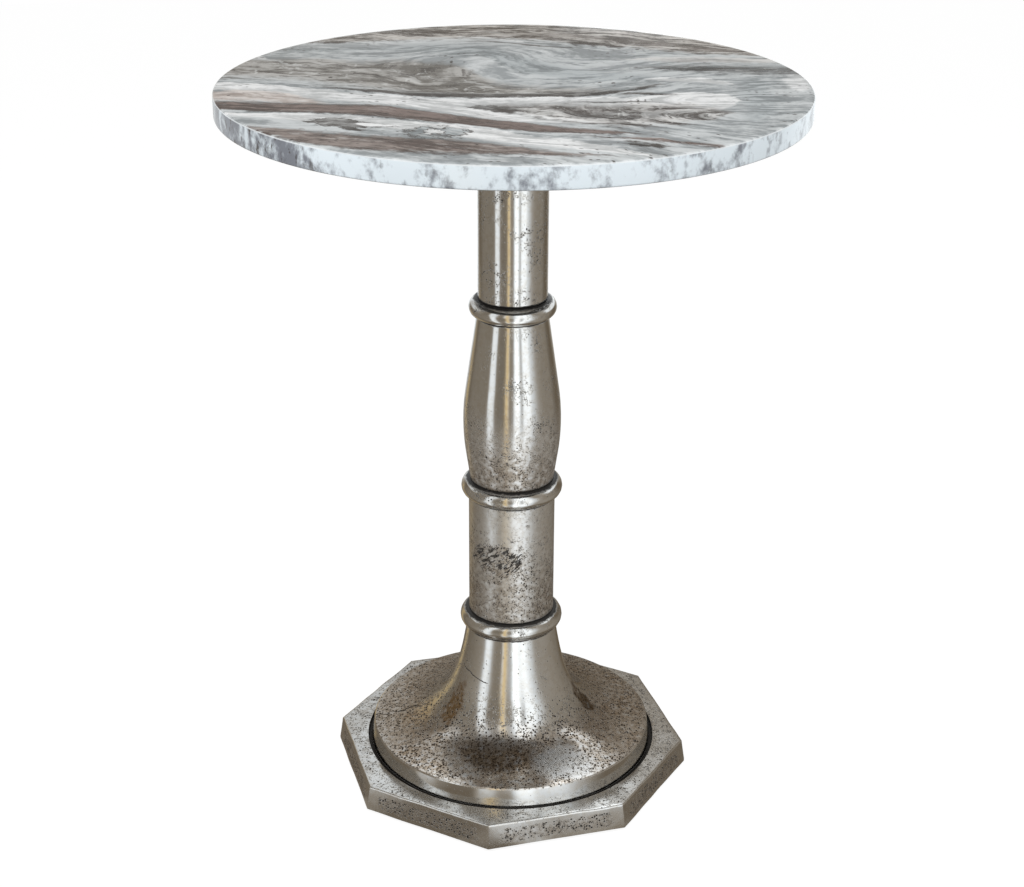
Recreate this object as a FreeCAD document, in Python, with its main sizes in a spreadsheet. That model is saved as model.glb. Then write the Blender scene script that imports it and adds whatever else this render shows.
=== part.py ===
"""Side table: a round stone slab on a turned cast-metal pedestal with an octagonal plinth.

The pedestal is made in sections that stack on one threaded tie rod. The frame has +Z up, in
millimetres, with its origin on the floor at the centre of the pedestal.
"""
import FreeCAD, Part
import enum
import math
import os
import re

import Sketcher

# Driving dimensions, in millimetres and degrees
SIZES = {
    # stone top
    "top_diameter": 508.0,
    "top_thickness": 20.0,
    "top_edge_round": 2.0,
    # flange under the stone, and what holds the stone to it
    "plate_diameter": 200.0,
    "plate_thickness": 8.0,
    "hub_length": 20.0,
    "fixing_inset": 20.0,
    "fixing_count": 4,
    "cushion_diameter": 24.0,
    "cushion_thickness": 2.0,
    "insert_diameter": 10.0,
    "insert_length": 12.0,
    "insert_spare_depth": 1.0,
    "screw_diameter": 6.0,
    "screw_reach": 10.0,
    "screw_head_diameter": 12.0,
    "screw_head_height": 4.0,
    "screw_socket_diameter": 4.0,
    "screw_socket_depth": 2.0,
    "screw_washer_diameter": 16.0,
    "screw_washer_thickness": 1.6,
    # columns and the bead rings between the sections
    "upper_column_diameter": 62.6,
    "upper_column_wall": 5.3,
    "upper_column_length": 160.25,
    "lower_column_diameter": 79.6,
    "lower_column_wall": 6.8,
    "lower_column_length": 118.25,
    "bead_round": 8.25,
    "spigot_length": 8.0,
    "spigot_wall": 4.0,
    "register_spare_depth": 2.0,
    # vase section
    "vase_length": 158.0,
    "vase_shoulder_step": 1.1,
    "vase_foot_step": 1.4,
    "vase_wall": 6.0,
    "belly_swell": 4.8,
    "belly_level": 57.25,
    "belly_round": 217.0,
    # bell foot
    "bell_length": 123.6,
    "bell_neck_step": 2.1,
    "bell_bore_depth": 52.0,
    "bell_rim_diameter": 264.8,
    "bell_rim_height": 19.6,
    "bell_rim_round": 1.0,
    "bell_foot_spread": 3.3,
    "bell_land_width": 40.0,
    "bell_land_height": 10.0,
    "neck_lean": 8.8,
    "neck_handle": 75.0,
    "shoulder_slope": 8.0,
    "shoulder_handle": 68.0,
    # octagonal plinth
    "plinth_height": 23.4,
    "plinth_border": 19.4,
    "plinth_draft": 2.8,
    "plinth_arris_round": 1.5,
    "seat_depth": 3.0,
    "seat_groove": 2.6,
    # tie rod with its nuts and washers
    "rod_diameter": 10.0,
    "rod_end_length": 1.5,
    "rod_end_cover": 1.5,
    "nut_width": 17.0,
    "nut_height": 8.0,
    "rod_washer_diameter": 22.0,
    "rod_washer_thickness": 2.0,
    "nut_pocket_clearance": 1.5,
    # levelling glides
    "glide_count": 4,
    "glide_stand": 2.5,
    "glide_inset": 27.7,
    "glide_pad_diameter": 28.0,
    "glide_pad_thickness": 6.0,
    "glide_pad_edge": 1.0,
    "glide_socket_floor": 2.0,
    "glide_stud_diameter": 8.0,
    "glide_stud_spare": 2.0,
    "glide_insert_diameter": 12.0,
    "glide_roof": 2.6,
    "glide_side_gap": 1.0,
    "glide_seat_gap": 0.3,
    # fits
    "thread_clearance": 0.05,
    "bond_clearance": 0.1,
    "spigot_clearance": 0.1,
    "rod_clearance": 0.5,
    "screw_clearance": 0.5,
}

PLINTH_SIDES = 8
NUT_SIDES = 6
GLIDE_TURN = 45.0

# Shared radii, as formulas over the driving dimensions
UPPER_RADIUS = "upper_column_diameter / 2"
LOWER_RADIUS = "lower_column_diameter / 2"
UPPER_REGISTER = f"({UPPER_RADIUS} - upper_column_wall)"
LOWER_REGISTER = f"({LOWER_RADIUS} - lower_column_wall)"
VASE_FOOT_RADIUS = f"({LOWER_RADIUS} - vase_foot_step)"
BELLY_RADIUS = f"({LOWER_RADIUS} + belly_swell)"
BELL_RIM_RADIUS = "bell_rim_diameter / 2"
BELL_FOOT_RADIUS = f"({BELL_RIM_RADIUS} + bell_foot_spread)"
SEAT_RADIUS = f"({BELL_FOOT_RADIUS} + seat_groove)"
PLINTH_INRADIUS = f"({SEAT_RADIUS} + plinth_border)"
FIXING_CIRCLE = "(plate_diameter / 2 - fixing_inset)"
GLIDE_CIRCLE = f"({PLINTH_INRADIUS} - glide_inset)"
NUT_POCKET_RADIUS = "(max(rod_washer_diameter / 2; nut_width / sqrt(3)) + nut_pocket_clearance)"
ROD_HOLE_RADIUS = "(rod_diameter / 2 + rod_clearance)"

# Shared depths, and the levels of the stacked pieces above the floor
NUT_POCKET_DEPTH = "(rod_washer_thickness + nut_height + rod_end_length + rod_end_cover)"
REGISTER_DEPTH = "(spigot_length + register_spare_depth)"
GLIDE_RECESS = "(glide_pad_thickness - glide_stand + glide_seat_gap)"
GLIDE_INSERT_LENGTH = f"(plinth_height - seat_depth - glide_roof - {GLIDE_RECESS})"
BELL_SEAT = "(glide_stand + plinth_height - seat_depth)"
LOWER_BEAD_BASE = f"({BELL_SEAT} + bell_length)"
LOWER_COLUMN_BASE = f"({LOWER_BEAD_BASE} + 2 * bead_round)"
MIDDLE_BEAD_BASE = f"({LOWER_COLUMN_BASE} + lower_column_length)"
VASE_BASE = f"({MIDDLE_BEAD_BASE} + 2 * bead_round)"
UPPER_BEAD_BASE = f"({VASE_BASE} + vase_length)"
UPPER_COLUMN_BASE = f"({UPPER_BEAD_BASE} + 2 * bead_round)"
PLATE_BASE = f"({UPPER_COLUMN_BASE} + upper_column_length)"
PLATE_TOP = f"({PLATE_BASE} + plate_thickness)"
STONE_BASE = f"({PLATE_TOP} + cushion_thickness)"
ROD_BASE = "(glide_stand + rod_end_cover)"

document = FreeCAD.newDocument("SideTable")
sheet = document.addObject("Spreadsheet::Sheet", "Sizes")


class Spot(enum.IntEnum):
    """Points of an edge in a sketch."""

    START = 1
    END = 2
    CENTRE = 3


class Axis(enum.IntEnum):
    """A sketch's own axes; the first also stands for its origin, which is that axis's start."""

    HORIZONTAL = -1
    VERTICAL = -2


def fill_sheet():
    """Write each driving dimension into the sheet under its own alias."""
    for row, (name, value) in enumerate(SIZES.items(), start=1):
        sheet.set(f"A{row}", name)
        sheet.set(f"B{row}", str(value))
        sheet.setAlias(f"B{row}", name)
    document.recompute()


def bound(formula):
    """Write a formula over the driving dimensions as an expression of the document."""
    return re.sub(r"[a-z]+(_[a-z]+)+", lambda name: f"Sizes.{name.group(0)}", formula)


def evaluate(formula):
    """Give the number that a formula has now."""
    value = sheet.evalExpression(bound(formula))
    return float(getattr(value, "Value", value))


def bind(item, path, formula):
    """Tie one property of an object to a formula over the driving dimensions."""
    item.setExpression(path, bound(formula))


def new_body(name, level="0", turn=0.0):
    """Start a piece that stands at a level above the floor, turned about the vertical axis."""
    body = document.addObject("PartDesign::Body", name)
    body.Label = name
    body.Placement.Rotation = FreeCAD.Rotation(FreeCAD.Vector(0, 0, 1), turn)
    bind(body, "Placement.Base.z", level)
    return body


def origin_feature(body, role):
    """Find one of a body's own origin planes or axes."""
    return next(item for item in body.Origin.OriginFeatures if item.Role == role)


def new_sketch(body, name, plane, shift_x="0", lift="0"):
    """Attach a sketch to a body's own plane, moved along it or lifted off it."""
    sketch = body.newObject("Sketcher::SketchObject", f"{body.Name}_{name}")
    sketch.AttachmentSupport = [(origin_feature(body, plane), "")]
    sketch.MapMode = "FlatFace"
    bind(sketch, "AttachmentOffset.Base.x", shift_x)
    bind(sketch, "AttachmentOffset.Base.z", lift)
    return sketch


def limit(sketch, kind, *place, formula):
    """Add a constraint whose size is a formula."""
    number = sketch.addConstraint(Sketcher.Constraint(kind, *place, evaluate(formula)))
    bind(sketch, f"Constraints[{number}]", formula)


def hold(sketch, edge, point, x=None, y=None):
    """Hold a point of an edge at its distances from the sketch's origin, where they are given."""
    for kind, axis, formula in (("DistanceX", Axis.VERTICAL, x), ("DistanceY", Axis.HORIZONTAL, y)):
        if formula == "0":
            sketch.addConstraint(Sketcher.Constraint("PointOnObject", edge, point, axis))
        elif formula is not None:
            limit(sketch, kind, Axis.HORIZONTAL, Spot.START, edge, point, formula=formula)


def draw_circle(sketch, radius, x="0", y="0"):
    """Draw a circle by its radius and centre."""
    centre = FreeCAD.Vector(evaluate(x), evaluate(y), 0)
    circle = sketch.addGeometry(Part.Circle(centre, FreeCAD.Vector(0, 0, 1), evaluate(radius)), False)
    hold(sketch, circle, Spot.CENTRE, x, y)
    limit(sketch, "Radius", circle, formula=radius)


def draw_outline(sketch, corners, curves=None, smooth=()):
    """Draw a closed outline, corner by corner, and give its edges.

    A corner is a pair of formulas, or of plain numbers where a smooth join settles it. An edge is
    straight unless curves holds its curve, which runs from its own corner to the next.
    """
    curves = curves or {}
    places = []
    for index, corner in enumerate(corners):
        x, y = corner if index in smooth else map(evaluate, corner)
        places.append(FreeCAD.Vector(x, y, 0))
    edges = []
    for index, place in enumerate(places):
        straight = Part.LineSegment(place, places[(index + 1) % len(places)])
        edges.append(sketch.addGeometry(curves.get(index, straight), False))
    for index, corner in enumerate(corners):
        join = "Tangent" if index in smooth else "Coincident"
        meeting = (edges[index - 1], Spot.END, edges[index], Spot.START)
        sketch.addConstraint(Sketcher.Constraint(join, *meeting))
        if index not in smooth:
            hold(sketch, edges[index], Spot.START, *corner)
    return edges


def draw_polygon(sketch, sides, inradius):
    """Draw a regular polygon about the origin, with one flat square to the vertical axis."""
    radius = evaluate(inradius) / math.cos(math.pi / sides)
    first = -math.pi / 2 - math.pi / sides
    places = []
    for index in range(sides):
        angle = first + 2 * math.pi * index / sides
        places.append(FreeCAD.Vector(radius * math.cos(angle), radius * math.sin(angle), 0))
    edges = []
    for index, place in enumerate(places):
        edges.append(sketch.addGeometry(Part.LineSegment(place, places[(index + 1) % sides]), False))
    ring = sketch.addGeometry(Part.Circle(FreeCAD.Vector(), FreeCAD.Vector(0, 0, 1), radius), True)
    hold(sketch, ring, Spot.CENTRE, "0", "0")
    for index, edge in enumerate(edges):
        meeting = (edges[index - 1], Spot.END, edge, Spot.START)
        sketch.addConstraint(Sketcher.Constraint("Coincident", *meeting))
        sketch.addConstraint(Sketcher.Constraint("PointOnObject", edge, Spot.START, ring))
        if index:
            sketch.addConstraint(Sketcher.Constraint("Equal", edges[0], edge))
    sketch.addConstraint(Sketcher.Constraint("Horizontal", edges[0]))
    limit(sketch, "Distance", Axis.HORIZONTAL, Spot.START, edges[0], formula=inradius)


def pad(body, sketch, length):
    """Raise a sketch to a length."""
    feature = body.newObject("PartDesign::Pad", f"{sketch.Name}_pad")
    feature.Profile = sketch
    bind(feature, "Length", length)
    return feature


def turn(body, sketch):
    """Turn an outline about its sketch's vertical axis."""
    feature = body.newObject("PartDesign::Revolution", f"{sketch.Name}_turned")
    feature.Profile = sketch
    feature.ReferenceAxis = (sketch, ["V_Axis"])
    feature.Angle = 360
    return feature


def cut(body, sketch, depth, upwards=False):
    """Cut a sketch into the body, and make sure that it takes material away."""
    document.recompute()
    before = body.Shape.Volume
    feature = body.newObject("PartDesign::Pocket", f"{sketch.Name}_cut")
    feature.Profile = sketch
    feature.Reversed = upwards
    bind(feature, "Length", depth)
    document.recompute()
    if not body.Shape.Volume < before:
        raise RuntimeError(f"{feature.Name} cuts nothing")
    return feature


def repeat_round(body, features, count):
    """Repeat features evenly about the vertical axis."""
    pattern = body.newObject("PartDesign::PolarPattern", f"{body.Name}_pattern")
    pattern.Originals = features
    pattern.Axis = (origin_feature(body, "Z_Axis"), [""])
    pattern.Angle = 360
    bind(pattern, "Occurrences", count)
    body.Tip = pattern


def round_edges(body, feature, size, wanted):
    """Round the edges of a feature that the test picks."""
    document.recompute()
    names = [f"Edge{number}" for number, edge in enumerate(feature.Shape.Edges, start=1) if wanted(edge)]
    rounding = body.newObject("PartDesign::Fillet", f"{body.Name}_rounding")
    rounding.Base = (feature, names)
    bind(rounding, "Radius", size)
    return rounding


def is_circle(edge):
    """Tell a full circular edge from a seam."""
    return isinstance(edge.Curve, Part.Circle) and edge.isClosed()


def make_ring(name, outer, inner, length, level, circle=None, count=None, turn_by=0.0):
    """Make a plain ring or tube, or a group of equal ones on a circle."""
    body = new_body(name, level, turn_by)
    sketch = new_sketch(body, "section", "XY_Plane")
    for radius in (outer, inner):
        draw_circle(sketch, radius, circle or "0")
    feature = pad(body, sketch, length)
    if circle:
        repeat_round(body, [feature], count)
    return body


def make_marble_top():
    """Make the stone slab with its eased edges and blind holes for the inserts."""
    body = new_body("marble_top", STONE_BASE)
    sketch = new_sketch(body, "disc", "XY_Plane")
    draw_circle(sketch, "top_diameter / 2")
    slab = pad(body, sketch, "top_thickness")
    round_edges(body, slab, "top_edge_round", is_circle)
    hole = new_sketch(body, "insert_hole", "XY_Plane")
    draw_circle(hole, "insert_diameter / 2 + bond_clearance", FIXING_CIRCLE)
    pocket = cut(body, hole, "insert_length + insert_spare_depth", upwards=True)
    repeat_round(body, [pocket], "fixing_count")
    return body


def make_top_plate():
    """Make the flange with its hub, the pocket for the rod's nut and the screw holes."""
    body = new_body("top_plate", f"{PLATE_BASE} - hub_length")
    outline = new_sketch(body, "outline", "XZ_Plane")
    hub = f"{UPPER_REGISTER} - spigot_clearance"
    top = "hub_length + plate_thickness"
    floor = f"{top} - {NUT_POCKET_DEPTH}"
    draw_outline(outline, [
        (ROD_HOLE_RADIUS, "0"),
        (hub, "0"),
        (hub, "hub_length"),
        ("plate_diameter / 2", "hub_length"),
        ("plate_diameter / 2", top),
        (NUT_POCKET_RADIUS, top),
        (NUT_POCKET_RADIUS, floor),
        (ROD_HOLE_RADIUS, floor),
    ])
    turn(body, outline)
    hole = new_sketch(body, "screw_hole", "XY_Plane", lift=top)
    draw_circle(hole, "screw_diameter / 2 + screw_clearance", FIXING_CIRCLE)
    repeat_round(body, [cut(body, hole, top)], "fixing_count")
    return body


def make_top_screws():
    """Make the screws that hold the stone, each with a socket in its head."""
    body = new_body("top_screws", f"{PLATE_BASE} - screw_washer_thickness - screw_head_height")
    outline = new_sketch(body, "outline", "XZ_Plane", shift_x=FIXING_CIRCLE)
    tip = ("screw_head_height + screw_washer_thickness + plate_thickness + cushion_thickness"
           " + screw_reach")
    draw_outline(outline, [
        ("screw_socket_diameter / 2", "0"),
        ("screw_head_diameter / 2", "0"),
        ("screw_head_diameter / 2", "screw_head_height"),
        ("screw_diameter / 2", "screw_head_height"),
        ("screw_diameter / 2", tip),
        ("0", tip),
        ("0", "screw_socket_depth"),
        ("screw_socket_diameter / 2", "screw_socket_depth"),
    ])
    repeat_round(body, [turn(body, outline)], "fixing_count")
    return body


def make_bead(name, radius, register, level):
    """Make a half-round bead ring whose spigots centre the sections above and below it."""
    body = new_body(name, f"{level} - spigot_length")
    outline = new_sketch(body, "outline", "XZ_Plane")
    spigot = f"{register} - spigot_clearance"
    bore = f"{spigot} - spigot_wall"
    upper_face = "spigot_length + 2 * bead_round"
    top = "2 * spigot_length + 2 * bead_round"
    centre = FreeCAD.Vector(evaluate(radius), evaluate("spigot_length + bead_round"), 0)
    circle = Part.Circle(centre, FreeCAD.Vector(0, 0, 1), evaluate("bead_round"))
    half_round = Part.ArcOfCircle(circle, -math.pi / 2, math.pi / 2)
    edges = draw_outline(outline, [
        (bore, "0"),
        (spigot, "0"),
        (spigot, "spigot_length"),
        (radius, "spigot_length"),
        (radius, upper_face),
        (spigot, upper_face),
        (spigot, top),
        (bore, top),
    ], curves={3: half_round})
    hold(outline, edges[3], Spot.CENTRE, x=radius)
    turn(body, outline)
    return body


def touch_point(x, y, centre_x, centre_y, radius, side):
    """Find where a line from a point touches a circle, on the side above (1) or below (-1) it."""
    distance = math.hypot(x - centre_x, y - centre_y)
    angle = math.atan2(y - centre_y, x - centre_x) + side * math.acos(radius / distance)
    return centre_x + radius * math.cos(angle), centre_y + radius * math.sin(angle), angle


def make_vase_section():
    """Make the vase section: two tapers that run smoothly into a round belly, over a cored bore."""
    body = new_body("vase_section", VASE_BASE)
    outline = new_sketch(body, "outline", "XZ_Plane")
    top_radius = f"{UPPER_RADIUS} + vase_shoulder_step"
    centre = (f"{BELLY_RADIUS} - belly_round", "belly_level")
    circle_at = [evaluate(formula) for formula in centre]
    belly = evaluate("belly_round")
    low_x, low_y, low_angle = touch_point(evaluate(VASE_FOOT_RADIUS), 0.0, *circle_at, belly, 1)
    high_x, high_y, high_angle = touch_point(
        evaluate(top_radius), evaluate("vase_length"), *circle_at, belly, -1)
    circle = Part.Circle(FreeCAD.Vector(*circle_at, 0), FreeCAD.Vector(0, 0, 1), belly)
    edges = draw_outline(outline, [
        (LOWER_REGISTER, "0"),
        (VASE_FOOT_RADIUS, "0"),
        (low_x, low_y),
        (high_x, high_y),
        (top_radius, "vase_length"),
        (UPPER_REGISTER, "vase_length"),
        (UPPER_REGISTER, f"vase_length - {REGISTER_DEPTH}"),
        (f"{BELLY_RADIUS} - vase_wall", "belly_level"),
        (LOWER_REGISTER, REGISTER_DEPTH),
    ], curves={2: Part.ArcOfCircle(circle, low_angle, high_angle)}, smooth=(2, 3))
    limit(outline, "Radius", edges[2], formula="belly_round")
    limit(outline, "DistanceX", edges[2], Spot.CENTRE, Axis.HORIZONTAL, Spot.START,
          formula=f"belly_round - {BELLY_RADIUS}")
    hold(outline, edges[2], Spot.CENTRE, y=centre[1])
    turn(body, outline)
    return body


def make_bell_foot():
    """Make the bell foot: a leaning neck that sweeps out over a sloping shoulder to a crisp rim."""
    body = new_body("bell_foot", BELL_SEAT)
    outline = new_sketch(body, "outline", "XZ_Plane")
    neck_radius = f"({LOWER_RADIUS} + bell_neck_step)"
    land_radius = f"{BELL_RIM_RADIUS} - bell_land_width"
    poles = [
        (BELL_RIM_RADIUS, "bell_rim_height"),
        (f"{BELL_RIM_RADIUS} - shoulder_handle * cos(shoulder_slope * 1 deg)",
         "bell_rim_height + shoulder_handle * sin(shoulder_slope * 1 deg)"),
        (f"{neck_radius} + neck_handle * sin(neck_lean * 1 deg)",
         "bell_length - neck_handle * cos(neck_lean * 1 deg)"),
        (neck_radius, "bell_length"),
    ]
    sweep = Part.BSplineCurve(
        [FreeCAD.Vector(evaluate(x), evaluate(y), 0) for x, y in poles], None, None, False, 3, None, False)
    edges = draw_outline(outline, [
        (land_radius, "0"),
        (BELL_FOOT_RADIUS, "0"),
        (BELL_RIM_RADIUS, "bell_rim_height"),
        (neck_radius, "bell_length"),
        (LOWER_REGISTER, "bell_length"),
        (LOWER_REGISTER, "bell_length - bell_bore_depth"),
        (land_radius, "bell_land_height"),
    ], curves={2: sweep})
    first_pole = outline.GeometryCount
    outline.exposeInternalGeometry(edges[2])
    for index in (1, 2):
        hold(outline, first_pole + index, Spot.CENTRE, *poles[index])
    bell = turn(body, outline)
    rim_radius = evaluate(BELL_RIM_RADIUS)
    rim_height = evaluate("bell_rim_height")

    def is_rim(edge):
        """Pick the circle where the shoulder meets the outer wall."""
        return (is_circle(edge) and math.isclose(edge.Curve.Radius, rim_radius, abs_tol=1e-3)
                and math.isclose(edge.Curve.Center.z, rim_height, abs_tol=1e-3))

    round_edges(body, bell, "bell_rim_round", is_rim)
    return body


def make_plinth():
    """Make the octagonal plinth: seat for the bell, rod hole and nut pocket, recesses for glides."""
    body = new_body("plinth", "glide_stand")
    octagon = new_sketch(body, "octagon", "XY_Plane")
    draw_polygon(octagon, PLINTH_SIDES, PLINTH_INRADIUS)
    block = pad(body, octagon, "plinth_height")
    bind(block, "TaperAngle", "-atan(plinth_draft / plinth_height)")
    round_edges(body, block, "plinth_arris_round", lambda edge: True)

    seat = new_sketch(body, "seat", "XY_Plane", lift="plinth_height")
    draw_circle(seat, SEAT_RADIUS)
    cut(body, seat, "seat_depth")
    rod_hole = new_sketch(body, "rod_hole", "XY_Plane", lift="plinth_height")
    draw_circle(rod_hole, ROD_HOLE_RADIUS)
    cut(body, rod_hole, "plinth_height")
    nut_pocket = new_sketch(body, "nut_pocket", "XY_Plane")
    draw_circle(nut_pocket, NUT_POCKET_RADIUS)
    cut(body, nut_pocket, NUT_POCKET_DEPTH, upwards=True)

    glide_x = f"{GLIDE_CIRCLE} * cos({GLIDE_TURN} deg)"
    glide_y = f"{GLIDE_CIRCLE} * sin({GLIDE_TURN} deg)"
    recess = new_sketch(body, "glide_recess", "XY_Plane")
    draw_circle(recess, "glide_pad_diameter / 2 + glide_side_gap", glide_x, glide_y)
    recess_cut = cut(body, recess, GLIDE_RECESS, upwards=True)
    bore = new_sketch(body, "glide_bore", "XY_Plane")
    draw_circle(bore, "glide_insert_diameter / 2 + bond_clearance", glide_x, glide_y)
    bore_cut = cut(body, bore, f"{GLIDE_RECESS} + {GLIDE_INSERT_LENGTH}", upwards=True)
    repeat_round(body, [recess_cut, bore_cut], "glide_count")
    return body


def make_tie_rod():
    """Make the rod that draws all sections together."""
    rod = document.addObject("Part::Cylinder", "tie_rod")
    rod.Label = "tie_rod"
    bind(rod, "Radius", "rod_diameter / 2")
    bind(rod, "Height", f"{PLATE_TOP} - rod_end_cover - {ROD_BASE}")
    bind(rod, "Placement.Base.z", ROD_BASE)
    return rod


def make_nut(name, level):
    """Make a hexagon nut on the tie rod."""
    blank = document.addObject("Part::Prism", f"{name}_blank")
    blank.Polygon = NUT_SIDES
    bind(blank, "Circumradius", "nut_width / sqrt(3)")
    bind(blank, "Height", "nut_height")
    bore = document.addObject("Part::Cylinder", f"{name}_bore")
    bind(bore, "Radius", "rod_diameter / 2 + thread_clearance")
    bind(bore, "Height", "nut_height")
    nut = document.addObject("Part::Cut", name)
    nut.Label = name
    nut.Base = blank
    nut.Tool = bore
    bind(nut, "Placement.Base.z", level)
    return nut


def place_glide(body, index):
    """Set one glide's piece out on the glides' circle."""
    angle = f"({GLIDE_TURN} deg + {index} * 360 deg / glide_count)"
    bind(body, "Placement.Base.x", f"{GLIDE_CIRCLE} * cos{angle}")
    bind(body, "Placement.Base.y", f"{GLIDE_CIRCLE} * sin{angle}")
    return body


def make_glide_pad(index):
    """Make a glide's pad, with a blind socket for its stud."""
    body = place_glide(new_body(f"glide_pad_{index + 1}"), index)
    outline = new_sketch(body, "outline", "XZ_Plane")
    socket = "glide_stud_diameter / 2 + thread_clearance"
    draw_outline(outline, [
        ("0", "0"),
        ("glide_pad_diameter / 2 - glide_pad_edge", "0"),
        ("glide_pad_diameter / 2", "glide_pad_edge"),
        ("glide_pad_diameter / 2", "glide_pad_thickness"),
        (socket, "glide_pad_thickness"),
        (socket, "glide_socket_floor"),
        ("0", "glide_socket_floor"),
    ])
    turn(body, outline)
    return body


def make_glide_stud(index):
    """Make a glide's stud, from its socket in the pad up into the insert."""
    stud = document.addObject("Part::Cylinder", f"glide_stud_{index + 1}")
    stud.Label = f"glide_stud_{index + 1}"
    bind(stud, "Radius", "glide_stud_diameter / 2")
    bind(stud, "Height", f"{BELL_SEAT} - glide_roof - glide_stud_spare - glide_socket_floor")
    bind(stud, "Placement.Base.z", "glide_socket_floor")
    return place_glide(stud, index)


def make_pieces():
    """Make every piece of the table, from the stone down to the floor."""
    insert_bore = "screw_diameter / 2 + thread_clearance"
    screw_hole = "screw_diameter / 2 + screw_clearance"
    pieces = [
        make_marble_top(),
        make_ring("stone_inserts", "insert_diameter / 2", insert_bore, "insert_length",
                  STONE_BASE, FIXING_CIRCLE, "fixing_count"),
        make_ring("stone_cushions", "cushion_diameter / 2", screw_hole, "cushion_thickness",
                  PLATE_TOP, FIXING_CIRCLE, "fixing_count"),
        make_top_plate(),
        make_top_screws(),
        make_ring("top_screw_washers", "screw_washer_diameter / 2", screw_hole,
                  "screw_washer_thickness", f"{PLATE_BASE} - screw_washer_thickness",
                  FIXING_CIRCLE, "fixing_count"),
        make_ring("upper_column", UPPER_RADIUS, UPPER_REGISTER, "upper_column_length",
                  UPPER_COLUMN_BASE),
        make_bead("upper_bead", UPPER_RADIUS, UPPER_REGISTER, UPPER_BEAD_BASE),
        make_vase_section(),
        make_bead("middle_bead", VASE_FOOT_RADIUS, LOWER_REGISTER, MIDDLE_BEAD_BASE),
        make_ring("lower_column", LOWER_RADIUS, LOWER_REGISTER, "lower_column_length",
                  LOWER_COLUMN_BASE),
        make_bead("lower_bead", LOWER_RADIUS, LOWER_REGISTER, LOWER_BEAD_BASE),
        make_bell_foot(),
        make_plinth(),
        make_tie_rod(),
        make_nut("rod_top_nut", f"{PLATE_TOP} - {NUT_POCKET_DEPTH} + rod_washer_thickness"),
        make_ring("rod_top_washer", "rod_washer_diameter / 2", ROD_HOLE_RADIUS,
                  "rod_washer_thickness", f"{PLATE_TOP} - {NUT_POCKET_DEPTH}"),
        make_nut("rod_bottom_nut", f"{ROD_BASE} + rod_end_length"),
        make_ring("rod_bottom_washer", "rod_washer_diameter / 2", ROD_HOLE_RADIUS,
                  "rod_washer_thickness", f"{ROD_BASE} + rod_end_length + nut_height"),
        make_ring("glide_inserts", "glide_insert_diameter / 2",
                  "glide_stud_diameter / 2 + thread_clearance", GLIDE_INSERT_LENGTH,
                  f"glide_stand + {GLIDE_RECESS}", GLIDE_CIRCLE, "glide_count", GLIDE_TURN),
    ]
    for index in range(SIZES["glide_count"]):
        pieces.append(make_glide_stud(index))
        pieces.append(make_glide_pad(index))
    return pieces


def check_pieces(pieces):
    """Stop if any object failed, or if any piece has no sound solid."""
    document.recompute()
    for item in document.Objects:
        if {"Invalid", "Error"} & set(item.State):
            raise RuntimeError(f"{item.Name} failed: {item.State}")
    for piece in pieces:
        shape = piece.Shape
        if shape.isNull() or not shape.isValid() or not shape.Solids:
            raise RuntimeError(f"{piece.Label} has no sound solid")


def write_pieces(pieces):
    """Write each piece to a file that bears its name, and print what it holds."""
    os.makedirs("parts", exist_ok=True)
    for piece in pieces:
        shape = piece.Shape
        shape.exportStep(f"parts/{piece.Label}.step")
        box = shape.BoundBox
        print(f"{piece.Label}: {len(shape.Solids)} solids, {shape.Volume / 1000:.2f} cm3, "
              f"z {box.ZMin:.2f} to {box.ZMax:.2f}")


fill_sheet()
table_pieces = make_pieces()
check_pieces(table_pieces)
write_pieces(table_pieces)
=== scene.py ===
"""Looks of a round side table: a polished marble slab on a turned, cast nickel pedestal.

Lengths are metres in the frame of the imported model. Places on the slab are shares of its diameter.
"""

from __future__ import annotations

import logging
import math
from collections.abc import Iterable, Sequence
from dataclasses import dataclass
from enum import Enum
from typing import Any

import bmesh
import bpy
from mathutils import Matrix, Vector, noise


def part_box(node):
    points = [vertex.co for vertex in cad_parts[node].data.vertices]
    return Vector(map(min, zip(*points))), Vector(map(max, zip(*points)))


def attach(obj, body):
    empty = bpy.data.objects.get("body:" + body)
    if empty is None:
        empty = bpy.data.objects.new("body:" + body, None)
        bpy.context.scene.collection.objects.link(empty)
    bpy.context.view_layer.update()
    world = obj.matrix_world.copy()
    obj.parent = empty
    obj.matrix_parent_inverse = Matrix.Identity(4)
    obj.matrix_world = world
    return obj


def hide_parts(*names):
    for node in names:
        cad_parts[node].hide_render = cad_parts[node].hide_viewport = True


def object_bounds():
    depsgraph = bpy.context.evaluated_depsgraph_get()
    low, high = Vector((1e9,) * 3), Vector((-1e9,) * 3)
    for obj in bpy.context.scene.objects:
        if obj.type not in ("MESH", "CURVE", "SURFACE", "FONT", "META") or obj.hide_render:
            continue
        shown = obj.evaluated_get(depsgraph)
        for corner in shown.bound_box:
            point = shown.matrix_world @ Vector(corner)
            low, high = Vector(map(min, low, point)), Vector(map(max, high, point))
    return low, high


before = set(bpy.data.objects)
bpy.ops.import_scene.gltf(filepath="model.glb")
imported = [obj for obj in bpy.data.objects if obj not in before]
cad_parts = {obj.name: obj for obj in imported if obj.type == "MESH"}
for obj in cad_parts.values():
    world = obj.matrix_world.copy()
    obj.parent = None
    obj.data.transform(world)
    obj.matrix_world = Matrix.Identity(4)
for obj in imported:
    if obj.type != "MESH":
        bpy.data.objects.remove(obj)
CAD_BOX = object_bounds()

log = logging.getLogger("side_table")

Point = tuple[float, float]
Tint = tuple[int, int, int]
Colour = tuple[float, float, float, float]

TABLE_BODY = "table"
MM = 0.001
VIEW_TURN = math.radians(15.85)
QUARTER = math.pi / 2
STEP = 2.5 * MM
SEAT_RADIUS = 138.3 * MM
GLIDES = range(1, 5)
WHITE = (1.0, 1.0, 1.0, 1.0)


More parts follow.
